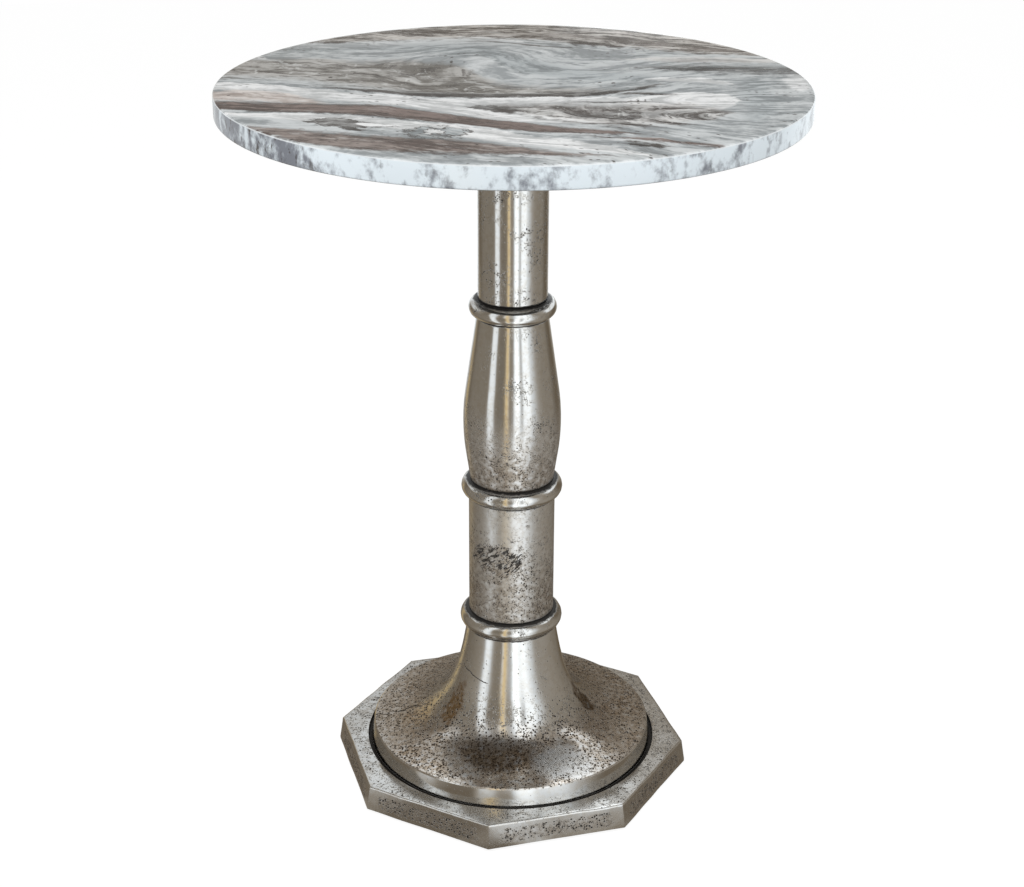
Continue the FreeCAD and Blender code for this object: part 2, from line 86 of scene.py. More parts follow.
def screen(tint: Tint) -> Colour:
    """Turn a screen colour of 0 to 255 into the linear colour that a node takes.

    Args:
        tint: Red, green and blue as they show on a screen.

    Returns:
        The linear colour, opaque.
    """
    shares = (level / 255 for level in tint)
    linear = [s / 12.92 if s <= 0.04045 else ((s + 0.055) / 1.055) ** 2.4 for s in shares]
    return (linear[0], linear[1], linear[2], 1.0)


def radii(node: str, low: float = -math.inf, high: float = math.inf) -> Point:
    """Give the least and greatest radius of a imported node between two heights.

    Args:
        node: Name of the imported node.
        low: Lowest height that counts.
        high: Highest height that counts.

    Returns:
        The least and the greatest distance of its points from the pedestal's axis.
    """
    points = [v.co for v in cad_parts[node].data.vertices if low <= v.co.z <= high]
    found = [math.hypot(point.x, point.y) for point in points]
    return min(found), max(found)


def show(name: str, data: bpy.types.ID) -> bpy.types.Object:
    """Put a new object into the scene.

    Args:
        name: Name of the object.
        data: Its mesh, lamp or lens.

    Returns:
        The object.
    """
    thing = bpy.data.objects.new(name, data)
    bpy.context.scene.collection.objects.link(thing)
    return thing


def settle(piece: bpy.types.Object, modifier: bpy.types.Modifier) -> None:
    """Make a piece the plain mesh that its modifier gives.

    Args:
        piece: The piece.
        modifier: Its modifier, which is removed.
    """
    made = bpy.data.meshes.new_from_object(piece.evaluated_get(bpy.context.evaluated_depsgraph_get()))
    drawn = piece.data
    piece.modifiers.remove(modifier)
    piece.data = made
    bpy.data.meshes.remove(drawn)
    made.name = piece.name


class Field:
    """A value in a node graph, on which plain arithmetic adds math nodes."""

    def __init__(self, graph: Graph, socket: bpy.types.NodeSocket) -> None:
        """Keep the graph and the socket that gives the value."""
        self.graph = graph
        self.socket = socket

    def __add__(self, other: Field | float) -> Field:
        """Add a value."""
        return self.graph.math("ADD", self, other)

    def __sub__(self, other: Field | float) -> Field:
        """Take a value away."""
        return self.graph.math("SUBTRACT", self, other)

    def __rsub__(self, other: float) -> Field:
        """Take this away from a number."""
        return self.graph.math("SUBTRACT", other, self)

    def __mul__(self, other: Field | float) -> Field:
        """Multiply by a value."""
        return self.graph.math("MULTIPLY", self, other)

    def __truediv__(self, other: Field | float) -> Field:
        """Divide by a value."""
        return self.graph.math("DIVIDE", self, other)

    def __abs__(self) -> Field:
        """Drop the sign."""
        return self.graph.math("ABSOLUTE", self)

    __radd__ = __add__
    __rmul__ = __mul__


class Graph:
    """A node tree that is written as arithmetic on fields."""

    def __init__(self, tree: bpy.types.NodeTree) -> None:
        """Start on a tree with nothing in it."""
        self.tree = tree
        tree.nodes.clear()

    def add(self, kind: str, inputs: dict[str | int, Any], **settings: Any) -> bpy.types.Node:
        """Add a node.

        Args:
            kind: The node's type.
            inputs: Value or field for each input, by name or number.
            settings: Values of the node's own settings.

        Returns:
            The new node.
        """
        node = self.tree.nodes.new(kind)
        for name, value in settings.items():
            setattr(node, name, value)
        for key, value in inputs.items():
            self.feed(node.inputs[key], value)
        return node

    def feed(self, socket: bpy.types.NodeSocket, value: Any) -> None:
        """Link a field to a socket, or set the socket to a plain value.

        Args:
            socket: The input to feed.
            value: The field or the plain value.
        """
        if isinstance(value, Field):
            self.tree.links.new(value.socket, socket)
        else:
            socket.default_value = value

    def field(self, node: bpy.types.Node, output: str | int = 0) -> Field:
        """Give one output of a node as a field."""
        return Field(self, node.outputs[output])

    def put(self, kind: str, inputs: dict[str | int, Any], output: str | int = 0, **settings: Any) -> Field:
        """Add a node and give one of its outputs as a field."""
        return self.field(self.add(kind, inputs, **settings), output)

    def math(self, operation: str, *values: Field | float) -> Field:
        """Work out a sum, product or other operation of values."""
        return self.put("ShaderNodeMath", dict(enumerate(values)), operation=operation)

    def clamp(self, value: Field) -> Field:
        """Keep a value between 0 and 1."""
        return self.put("ShaderNodeClamp", {0: value})

    def ramp(self, value: Field, low: Field | float, high: Field | float) -> Field:
        """Rise smoothly from 0 at the low value to 1 at the high one."""
        inputs = {"Value": value, "From Min": low, "From Max": high}
        return self.put("ShaderNodeMapRange", inputs, interpolation_type="SMOOTHSTEP")

    def between(self, value: Field, ends: tuple[Point, Point]) -> Field:
        """Give 1 between two soft ends, and 0 beyond them."""
        return self.ramp(value, *ends[0]) * self.ramp(value, *ends[1])

    def vector(self, x: Field | float, y: Field | float, z: Field | float = 0.0) -> Field:
        """Join three values into a place."""
        return self.put("ShaderNodeCombineXYZ", {0: x, 1: y, 2: z})

    def parts(self, place: Field) -> tuple[Field, Field, Field]:
        """Split a place into its three values."""
        node = self.add("ShaderNodeSeparateXYZ", {0: place})
        return self.field(node, 0), self.field(node, 1), self.field(node, 2)

    def place(self) -> Field:
        """Give the object's own coordinates, turned so that X runs to the right in the photograph."""
        return self.turned(VIEW_TURN)

    def turned(self, angle: float) -> Field:
        """Give the object's own coordinates, turned about its upright axis."""
        own = self.put("ShaderNodeTexCoord", {}, "Object")
        return self.put("ShaderNodeMapping", {"Vector": own, "Rotation": (0.0, 0.0, angle)})

    def length(self, x: Field, y: Field) -> Field:
        """Give the distance of a place from the middle of its plane."""
        return self.math("SQRT", x * x + y * y)

    def noise(self, place: Field, scale: float, detail: float = 3.0, rough: float = 0.5) -> Field:
        """Give soft noise about 0.5, with so many features per unit of the place."""
        inputs = {"Vector": place, "Scale": scale, "Detail": detail, "Roughness": rough}
        return self.put("ShaderNodeTexNoise", inputs)

    def cells(self, place: Field, scale: float) -> tuple[Field, Field]:
        """Scatter cells.

        Args:
            place: Where to read them.
            scale: Cells per unit of the place.

        Returns:
            The distance from the nearest cell's middle, and that cell's random share.
        """
        node = self.add("ShaderNodeTexVoronoi", {"Vector": place, "Scale": scale})
        chance = self.put("ShaderNodeSeparateColor", {0: self.field(node, "Color")})
        return self.field(node, "Distance"), chance

    def veins(self, place: Field, scale: float) -> Field:
        """Give the distance from the borders of scattered cells."""
        inputs = {"Vector": place, "Scale": scale}
        return self.put("ShaderNodeTexVoronoi", inputs, feature="DISTANCE_TO_EDGE")

    def curve(self, value: Field, points: Sequence[Point]) -> Field:
        """Follow a smooth curve through a few points, level beyond its ends.

        Args:
            value: The value to look up, from 0 to 1.
            points: The curve's points in order.

        Returns:
            The curve's height there.
        """
        node = self.add("ShaderNodeFloatCurve", {"Value": value})
        knots = node.mapping.curves[0].points
        for knot, point in zip(knots, (points[0], points[-1])):
            knot.location = point
        for point in points[1:-1]:
            knots.new(*point)
        for knot in knots:
            knot.handle_type = "AUTO_CLAMPED"
        node.mapping.extend = "HORIZONTAL"
        node.mapping.update()
        return self.field(node)

    def mix(self, share: Field | float, first: Field | Tint, second: Field | Tint) -> Field:
        """Blend from one colour to another.

        Args:
            share: 0 for the first colour, 1 for the second.
            first: The colour below, as a field or as it shows on a screen.
            second: The colour above.

        Returns:
            The blended colour.
        """
        node = self.add("ShaderNodeMix", {0: share}, data_type="RGBA")
        for number, colour in ((6, first), (7, second)):
            self.feed(node.inputs[number], colour if isinstance(colour, Field) else screen(colour))
        return self.field(node, 2)


class Finish(Graph):
    """A material that is built as a node graph."""

    def __init__(self, name: str) -> None:
        """Make the empty material.

        Args:
            name: Name of the material.
        """
        self.material = bpy.data.materials.new(name)
        self.material.use_nodes = True
        super().__init__(self.material.node_tree)

    def surface(self, inputs: dict[str, Any], height: Field | None = None,
                depth: float = 0.0) -> bpy.types.Material:
        """Close the graph with a surface shader.

        Args:
            inputs: The shader's inputs by name.
            height: Relief of the surface, from 0 to 1.
            depth: Depth in metres that the relief stands for.

        Returns:
            The finished material.
        """
        if height is not None:
            relief = self.put("ShaderNodeBump", {"Height": height, "Distance": depth})
            inputs = {**inputs, "Normal": relief}
        self.add("ShaderNodeOutputMaterial", {"Surface": self.put("ShaderNodeBsdfPrincipled", inputs)})
        return self.material


@dataclass(frozen=True)
class Bed:
    """One bed of the marble, along a line across the slab."""

    deep: Tint
    pale: Tint
    line: tuple[Point, ...]
    reach: tuple[Point, ...]
    blur: float = 0.012
    ragged: float = 0.03
    weight: float = 1.0
    inked: float = 0.0
    outline: float = 0.0
    upright: bool = False

    def share(self, graph: Graph, along: Field, across: Field, stray: Field) -> Field:
        """Say how far this bed covers a place.

        Args:
            graph: The graph to write in.
            along: Share of the diameter from the left rim.
            across: Share of the diameter from the back rim.
            stray: Noise about 0 that frays the bed's edges.

        Returns:
            0 outside the bed, its weight inside.
        """
        run, side = (across, along) if self.upright else (along, across)
        off = abs(side + stray * self.ragged - graph.curve(run, self.line))
        return graph.ramp(graph.curve(run, self.reach) - off, 0.0, self.blur) * self.weight


@dataclass(frozen=True)
class Marble:
    """Polished marble with flowing grey, cream and brown beds."""

    slab: str = "marble_top"
    ground_deep: Tint = (142, 147, 149)
    ground_pale: Tint = (204, 208, 209)
    edge_deep: Tint = (128, 132, 140)
    edge_pale: Tint = (226, 236, 242)
    # Painted highlight colour for the upper arris, partly a lighter stone colour there.
    arris: Tint = (236, 241, 244)
    # Underside colours: sawn stone darkened with painted shade.
    underside_shade_deep: Tint = (44, 42, 40)
    underside_shade_pale: Tint = (72, 70, 67)
    ink: Tint = (70, 64, 60)
    thread: Tint = (218, 219, 217)
    polish: float = 0.14
    swirl: Point = (0.53, 0.31)
    swirl_reach: float = 0.27
    swirl_turn: float = math.radians(62.0)

    def beds(self) -> tuple[Bed, ...]:
        """List the beds in the order in which they cover each other.

        Returns:
            The beds, from the lowest up.
        """
        back = ((66, 60, 56), (206, 202, 197))
        umber = ((82, 75, 70), (138, 132, 127))
        slate = ((128, 134, 136), (186, 192, 194))
        haze = ((162, 167, 169), (222, 225, 226))
        leaf = ((112, 108, 102), (182, 180, 176))
        white = ((190, 192, 192), (242, 243, 243))
        blush = ((164, 152, 145), (222, 215, 210))
        mauve = ((80, 68, 63), (130, 115, 109))
        brown = ((86, 74, 69), (148, 137, 131))
        dusk = ((66, 62, 59), (158, 158, 157))
        ink = ((48, 44, 41), (80, 75, 71))
        return (
            Bed(*back, ((0, .14), (.3, .085), (.5, .07), (.7, .11), (.85, .17), (1, .24)),
                ((0, .06), (.3, .085), (.45, .075), (.6, .1), (.8, .105), (1, .06)),
                blur=.03, ragged=.12, inked=.7),
            Bed(*umber, ((.42, .09), (.55, .105), (.7, .14), (.85, .22), (.95, .27)),
                ((.4, 0), (.5, .02), (.65, .028), (.8, .035), (.93, .02), (.96, 0)),
                blur=.03, ragged=.1, inked=.7),
            Bed(*haze, ((.08, .2), (.25, .18), (.36, .16), (.46, .15), (.53, .185)),
                ((.06, 0), (.13, .022), (.3, .024), (.4, .014), (.5, .012), (.55, 0)), blur=.02, ragged=.08),
            Bed(*slate, ((.06, .25), (.2, .235), (.36, .22), (.44, .26)),
                ((.04, .01), (.1, .03), (.25, .035), (.4, .05), (.46, 0)), blur=.03, ragged=.08, weight=.85),
            Bed(*haze, ((.3, .3), (.38, .31), (.45, .36), (.52, .43), (.58, .475)),
                ((.3, 0), (.36, .05), (.44, .08), (.5, .06), (.56, .025), (.6, 0)),
                blur=.04, ragged=.1, weight=.6),
            Bed(*slate, ((.4, .19), (.45, .24), (.5, .33), (.56, .4), (.65, .44), (.77, .445)),
                ((.37, 0), (.42, .035), (.47, .075), (.52, .08), (.6, .065), (.7, .045), (.78, .02),
                 (.84, 0)),
                blur=.04, ragged=.08),
            Bed(*haze, ((.54, .25), (.6, .29), (.68, .33), (.74, .37)),
                ((.52, 0), (.58, .035), (.66, .03), (.76, 0)), blur=.03, ragged=.1, weight=.8),
            Bed((168, 167, 165), (218, 217, 215), ((.68, .3), (.85, .305), (1, .31)),
                ((.66, 0), (.74, .022), (.95, .026), (1, .02)), blur=.02, ragged=.06),
            Bed((60, 60, 59), (128, 131, 132), ((.7, .36), (.8, .372), (.9, .385), (1, .39)),
                ((.68, 0), (.75, .024), (.85, .044), (.95, .046), (1, .04)), blur=.03, ragged=.06, inked=.8),
            Bed(*leaf,
                ((0, .38), (.15, .4), (.25, .43), (.33, .437), (.4, .46), (.43, .497), (.47, .532),
                 (.55, .548), (.62, .5425), (.68, .5325), (.745, .487)),
                ((0, .1), (.15, .108), (.25, .122), (.33, .142), (.4, .136), (.43, .107), (.47, .074),
                 (.55, .05), (.62, .04), (.68, .025), (.745, .008), (.76, 0)),
                blur=.055, ragged=.09, inked=.9),
            Bed(*ink, ((.12, .5), (.25, .545), (.38, .578), (.5, .583), (.6, .57), (.68, .54), (.745, .49)),
                ((.1, 0), (.25, .014), (.4, .02), (.55, .022), (.68, .016), (.745, .008), (.765, 0)),
                blur=.012, ragged=.04, weight=.95, inked=.5),
            Bed(*white, ((0, .3), (.06, .31), (.12, .36), (.16, .38)),
                ((0, .012), (.05, .016), (.12, .008), (.16, 0)), ragged=.08, weight=.7),
            Bed(*slate, ((.42, .9), (.55, .905), (.65, .9), (.78, .87)),
                ((.42, 0), (.48, .045), (.6, .045), (.7, .04), (.8, 0)),
                blur=.035, ragged=.08, upright=True),
            Bed(*white, ((.38, .985), (.47, .975), (.56, .985)),
                ((.4, 0), (.45, .03), (.5, .03), (.55, 0)), blur=.02, ragged=.05, upright=True),
            Bed(*white,
                ((0, .51), (.15, .56), (.3, .612), (.4, .648), (.5, .67), (.6, .67), (.7, .665), (.78, .62),
                 (.86, .6)),
                ((0, .024), (.15, .042), (.3, .034), (.4, .05), (.5, .085), (.6, .09), (.7, .09),
                 (.78, .075), (.84, .055), (.875, 0)),
                ragged=.05, inked=.12),
            Bed(*white, ((.72, .452), (.8, .455), (.86, .48), (.88, .5)),
                ((.7, 0), (.75, .014), (.84, .022), (.88, 0)), ragged=.05),
            Bed(*blush, ((0, .585), (.08, .59), (.14, .605), (.22, .64)),
                ((0, .045), (.08, .046), (.15, .034), (.22, 0)), blur=.025, ragged=.08, inked=.3),
            Bed(*mauve,
                ((0, .65), (.1, .66), (.2, .668), (.3, .688), (.4, .733), (.5, .775), (.6, .805),
                 (.72, .818)),
                ((0, .032), (.1, .032), (.2, .034), (.3, .038), (.4, .034), (.5, .03), (.6, .02), (.68, .01),
                 (.72, 0)),
                blur=.012, ragged=.045, inked=.3, outline=.35),
            Bed(*mauve, ((.58, .825), (.66, .845), (.74, .862), (.8, .885), (.84, .91)),
                ((.57, 0), (.66, .01), (.74, .016), (.8, .012), (.85, 0)), ragged=.05, inked=.4),
            Bed(*white, ((.04, .71), (.2, .73), (.3, .76), (.4, .8), (.5, .85), (.6, .89), (.7, .94)),
                ((.02, .01), (.15, .03), (.3, .036), (.45, .036), (.6, .034), (.75, 0)),
                ragged=.05, inked=.15),
            Bed(*dusk, ((.17, .75), (.235, .765), (.3, .785)),
                ((.165, 0), (.2, .026), (.235, .034), (.265, .026), (.31, 0)),
                ragged=.09, inked=.8, outline=.9),
            Bed(*white, ((.245, .77), (.28, .775), (.33, .785)),
                ((.245, 0), (.275, .018), (.3, .014), (.335, 0)), blur=.008, ragged=.06, outline=.6),
            Bed(*slate, ((.32, .805), (.38, .81), (.44, .82)),
                ((.325, 0), (.35, .028), (.38, .036), (.41, .026), (.445, 0)),
                ragged=.12, inked=.8, outline=.95),
            Bed(*white, ((.35, .81), (.38, .812), (.41, .82)),
                ((.352, 0), (.37, .014), (.385, .016), (.4, 0)), blur=.008, ragged=.1, outline=.9),
            Bed(*brown,
                ((.09, .79), (.15, .83), (.2, .855), (.3, .883), (.4, .893), (.5, .92), (.56, .94),
                 (.66, .962)),
                ((.08, .006), (.15, .032), (.2, .045), (.3, .048), (.4, .046), (.5, .03), (.56, .018),
                 (.64, .008), (.67, 0)),
                blur=.016, ragged=.06, inked=.6, outline=.3),
            Bed((80, 74, 70), (212, 211, 209), ((.44, .64), (.55, .675), (.65, .7), (.75, .695), (.85, .68)),
                ((.42, 0), (.5, .04), (.6, .075), (.72, .08), (.8, .06), (.87, 0)),
                blur=.03, ragged=.1, inked=1.0),
            Bed(*dusk, ((.54, .69), (.65, .712), (.75, .71), (.84, .69)),
                ((.51, 0), (.57, .022), (.67, .036), (.76, .03), (.83, .016), (.86, 0)),
                blur=.03, ragged=.16, inked=1.0),
            Bed(*dusk, ((.42, .645), (.47, .66), (.52, .675)),
                ((.41, 0), (.45, .026), (.49, .022), (.53, 0)), ragged=.1, weight=.85, inked=.7),
            Bed(*ink, ((.56, .62), (.66, .617), (.76, .615)),
                ((.55, 0), (.62, .009), (.7, .01), (.77, 0)), ragged=.03),
            Bed(*ink, ((.66, .566), (.72, .56), (.78, .566)),
                ((.65, 0), (.7, .013), (.75, .012), (.785, 0)), ragged=.03),
            Bed(*ink, ((.37, .165), (.44, .157), (.5, .177), (.56, .2), (.64, .205)),
                ((.36, 0), (.44, .009), (.5, .011), (.56, .012), (.66, 0)),
                blur=.012, ragged=.03, weight=.85),
            Bed(*white, ((.38, .12), (.46, .13), (.52, .165)),
                ((.37, 0), (.43, .012), (.49, .013), (.54, 0)), ragged=.06),
            Bed(*ink, ((.66, .868), (.7, .885), (.74, .9)),
                ((.65, 0), (.69, .014), (.72, .013), (.75, 0)), ragged=.06),
        )

    def bedding(self, graph: Graph, along: Field, across: Field) -> Field:
        """Follow the direction of the beds: a bowl under the leaf, a slope in front, a swirl behind.

        Args:
            graph: The graph to write in.
            along: Share of the diameter from the left rim.
            across: Share of the diameter from the back rim.

        Returns:
            A value that stays level along each bed.
        """
        bowl = graph.curve(along, ((0, .5), (.2, .54), (.4, .6), (.5, .6), (.6, .585), (.7, .54),
                                   (.8, .47), (1, .45)))
        slope = graph.curve(along, ((0, .65), (.2, .668), (.4, .733), (.6, .805), (.8, .885), (1, .94)))
        under = (bowl - 0.5) * graph.ramp(across, 0.3, 0.5)
        front = slope - 0.65
        dip = under + (front - under) * graph.ramp(across, 0.58, 0.72)
        fall = graph.ramp(along, 0.5, 1.0) * graph.ramp(across, 0.35, 0.15) * 0.13
        return across - dip - fall

    def twist(self, graph: Graph, along: Field, across: Field) -> tuple[Field, Field]:
        """Turn the stone about the middle of its swirl, less and less outwards.

        Args:
            graph: The graph to write in.
            along: Share of the diameter from the left rim.
            across: Share of the diameter from the back rim.

        Returns:
            The place from which the swirl took the stone, along and across.
        """
        right, down = along - self.swirl[0], across - self.swirl[1]
        reach = graph.length(right, down)
        turn = graph.ramp(reach, self.swirl_reach, 0.0) * self.swirl_turn
        cosine, sine = graph.math("COSINE", turn), graph.math("SINE", turn)
        return right * cosine + down * sine + self.swirl[0], down * cosine - right * sine + self.swirl[1]

    def rim(self, graph: Graph, along: Field) -> Field:
        """Colour the slab's edge: bluish white with upright grey clouds, darkest at the left.

        Args:
            graph: The graph to write in.
            along: Share of the diameter from the left rim.

        Returns:
            The colour.
        """
        x, y, z = graph.parts(graph.place())
        upright = graph.vector(x, y, z * 0.8)
        soft = graph.noise(upright, 36.0, 3.0, 0.5)
        veins = graph.noise(upright, 130.0, 4.0, 0.6)
        gloom = graph.ramp(along, 0.34, 0.1)
        share = graph.ramp(soft * 0.52 + veins * 0.48 - gloom * 0.1, 0.34, 0.53)
        colour = graph.mix(share, self.edge_deep, self.edge_pale)
        streaks = graph.noise(graph.vector(x, y, z * 0.4 + 3.0), 150.0, 4.0, 0.65)
        dark = graph.ramp(streaks, 0.54, 0.64) * (gloom * 0.6 + 0.25) * graph.ramp(share, 1.0, 0.55)
        colour = graph.mix(dark, colour, self.ink)
        fleck = graph.ramp(graph.noise(upright, 260.0, 2.0), 0.64, 0.7) * graph.ramp(share, 1.0, 0.5)
        return graph.mix(fleck * 0.7, colour, self.ink)

    def make(self) -> bpy.types.Material:
        """Build the stone.

        Returns:
            The finished material.
        """
        low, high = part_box(self.slab)
        span = high.x - low.x
        graph = Finish("banded_marble")
        x, y, z = graph.parts(graph.place())
        along = x / span + 0.5
        across = 0.5 - y / span
        flat = graph.vector(along, across)
        wander = graph.noise(flat, 5.0, 4.0)
        sway = graph.noise(graph.vector(along * 8.0, across * 16.0), 1.0, 3.0)
        run, depth = self.twist(graph, along, across)
        bedding = self.bedding(graph, run, depth) + (wander - 0.5) * 0.09 + (sway - 0.5) * 0.045
        broad = graph.noise(graph.vector(run * 4.0, bedding * 18.0), 1.0, 4.0, 0.6)
        fine = graph.noise(graph.vector(run * 15.0, bedding * 46.0), 1.0, 4.0, 0.62)
        mottle = graph.noise(flat, 48.0, 4.0, 0.65)
        thin = graph.noise(graph.vector(run * 9.0, bedding * 92.0, 7.0), 1.0, 3.0, 0.6)
        streak = graph.ramp(broad * 0.36 + fine * 0.3 + thin * 0.2 + mottle * 0.14, 0.44, 0.56)
        stray = (broad - 0.5) * 0.9 + (fine - 0.5) * 0.7 + (mottle - 0.5) * 0.5

        colour = graph.mix(streak, self.ground_deep, self.ground_pale)
        inked = graph.ramp(wander, 0.5, 0.65) * 0.4
        for bed in self.beds():
            share = bed.share(graph, along, across, stray)
            colour = graph.mix(share, colour, graph.mix(streak, bed.deep, bed.pale))
            inked = inked + (bed.inked - inked) * share
            if bed.outline:
                colour = graph.mix(share * (1.0 - share) * (4.0 * bed.outline), colour, self.ink)

        hair = graph.noise(graph.vector(run * 16.0, bedding * 62.0, 3.0), 1.0, 4.0, 0.65)
        colour = graph.mix(graph.ramp(hair, 0.53, 0.6) * inked * 0.8, colour, self.ink)
        colour = graph.mix(graph.ramp(hair, 0.45, 0.36) * inked * 0.45, colour, self.thread)
        crackle = graph.veins(graph.vector(run + wander * 0.08, bedding + mottle * 0.03), 13.0)
        crackle = graph.ramp(crackle, 0.035, 0.008) * graph.ramp(mottle, 0.48, 0.6)
        crackle = crackle * graph.ramp(inked, 0.6, 1.0)
        colour = graph.mix(crackle * 0.6, colour, self.thread)
        distance, chance = graph.cells(graph.vector(along, bedding * 1.8), 90.0)
        speck = graph.clamp((0.34 - chance - distance * 0.7) * 8.0) * graph.ramp(wander, 0.46, 0.56)
        colour = graph.mix(speck * 0.9, colour, self.ink)

        # Painted highlight: a pale band along the eased upper edge stands for the specular line on the arris,
        # partly a lighter stone colour.
        eased = graph.ramp(z, high.z - 0.5 * MM, high.z - 1.0 * MM)
        colour = graph.mix(eased * 0.7, colour, self.arris)
        beside = graph.ramp(z, high.z - 1.2 * MM, high.z - 2.0 * MM)
        colour = graph.mix(beside, colour, self.rim(graph, along))
        # Painted shade: the slab's underside is coloured near black for the shade under it, which the metal
        # below reflects.
        underside_shade = graph.mix(graph.ramp(mottle, 0.4, 0.6), self.underside_shade_deep, self.underside_shade_pale)
        under = graph.ramp(z, low.z + 0.8 * MM, low.z + 0.2 * MM)
        colour = graph.mix(under, colour, underside_shade)

        dull = self.polish + (fine - 0.5) * 0.08 + under * 0.5
        return graph.surface({"Base Color": colour, "Roughness": dull})


class Wear(Enum):
    """Where the casting of a piece is pitted."""

    LIGHT = "a few pits"
    LOWER_END = "denser towards the lower end"
    SCUFFED = "one scuffed patch"
    DISH = "clean neck, pitted dish"
    FIELDS = "pitted fields inside smooth borders"


@dataclass(frozen=True)
class Patch:
    """A round patch with a frayed edge: wear, a stain, a painted reflection or a painted highlight."""

    centre: Point
    size: Point
    fray: float
    outer: float
    inner: float

    def share(self, graph: Graph, right: Field, other: Field, stray: Field) -> Field:
        """Say how far the patch covers a place.

        Args:
            graph: The graph to write in.
            right: How far the place is to the right.
            other: Its height, its distance back or its radius, as the patch is laid out.
            stray: Noise about 0 that frays the edge.

        Returns:
            0 outside the patch, 1 in its middle.
        """
        aside = (right - self.centre[0]) / self.size[0]
        off = (other - self.centre[1]) / self.size[1]
        return graph.ramp(aside * aside + off * off + stray * self.fray, self.outer, self.inner)


@dataclass(frozen=True)
class Site:
    """A place on a casting, with the broad patches of wear there as a share from 0 to 1."""

    graph: Graph
    place: Field
    patches: Field


@dataclass(frozen=True)
class Zone:
    """How worn a casting is at a place, and where light and shade are painted on it, each as a share from 0
    to 1.
    """

    pits: Field
    grime: Field
    marks: Field | float = 0.0
    # satin carries the bell's painted highlight patch; the last field paints dark reflections on the bell,
    # partly a smear.
    satin: Field | float = 0.0
    painted_dark_reflection: Field | float = 0.0


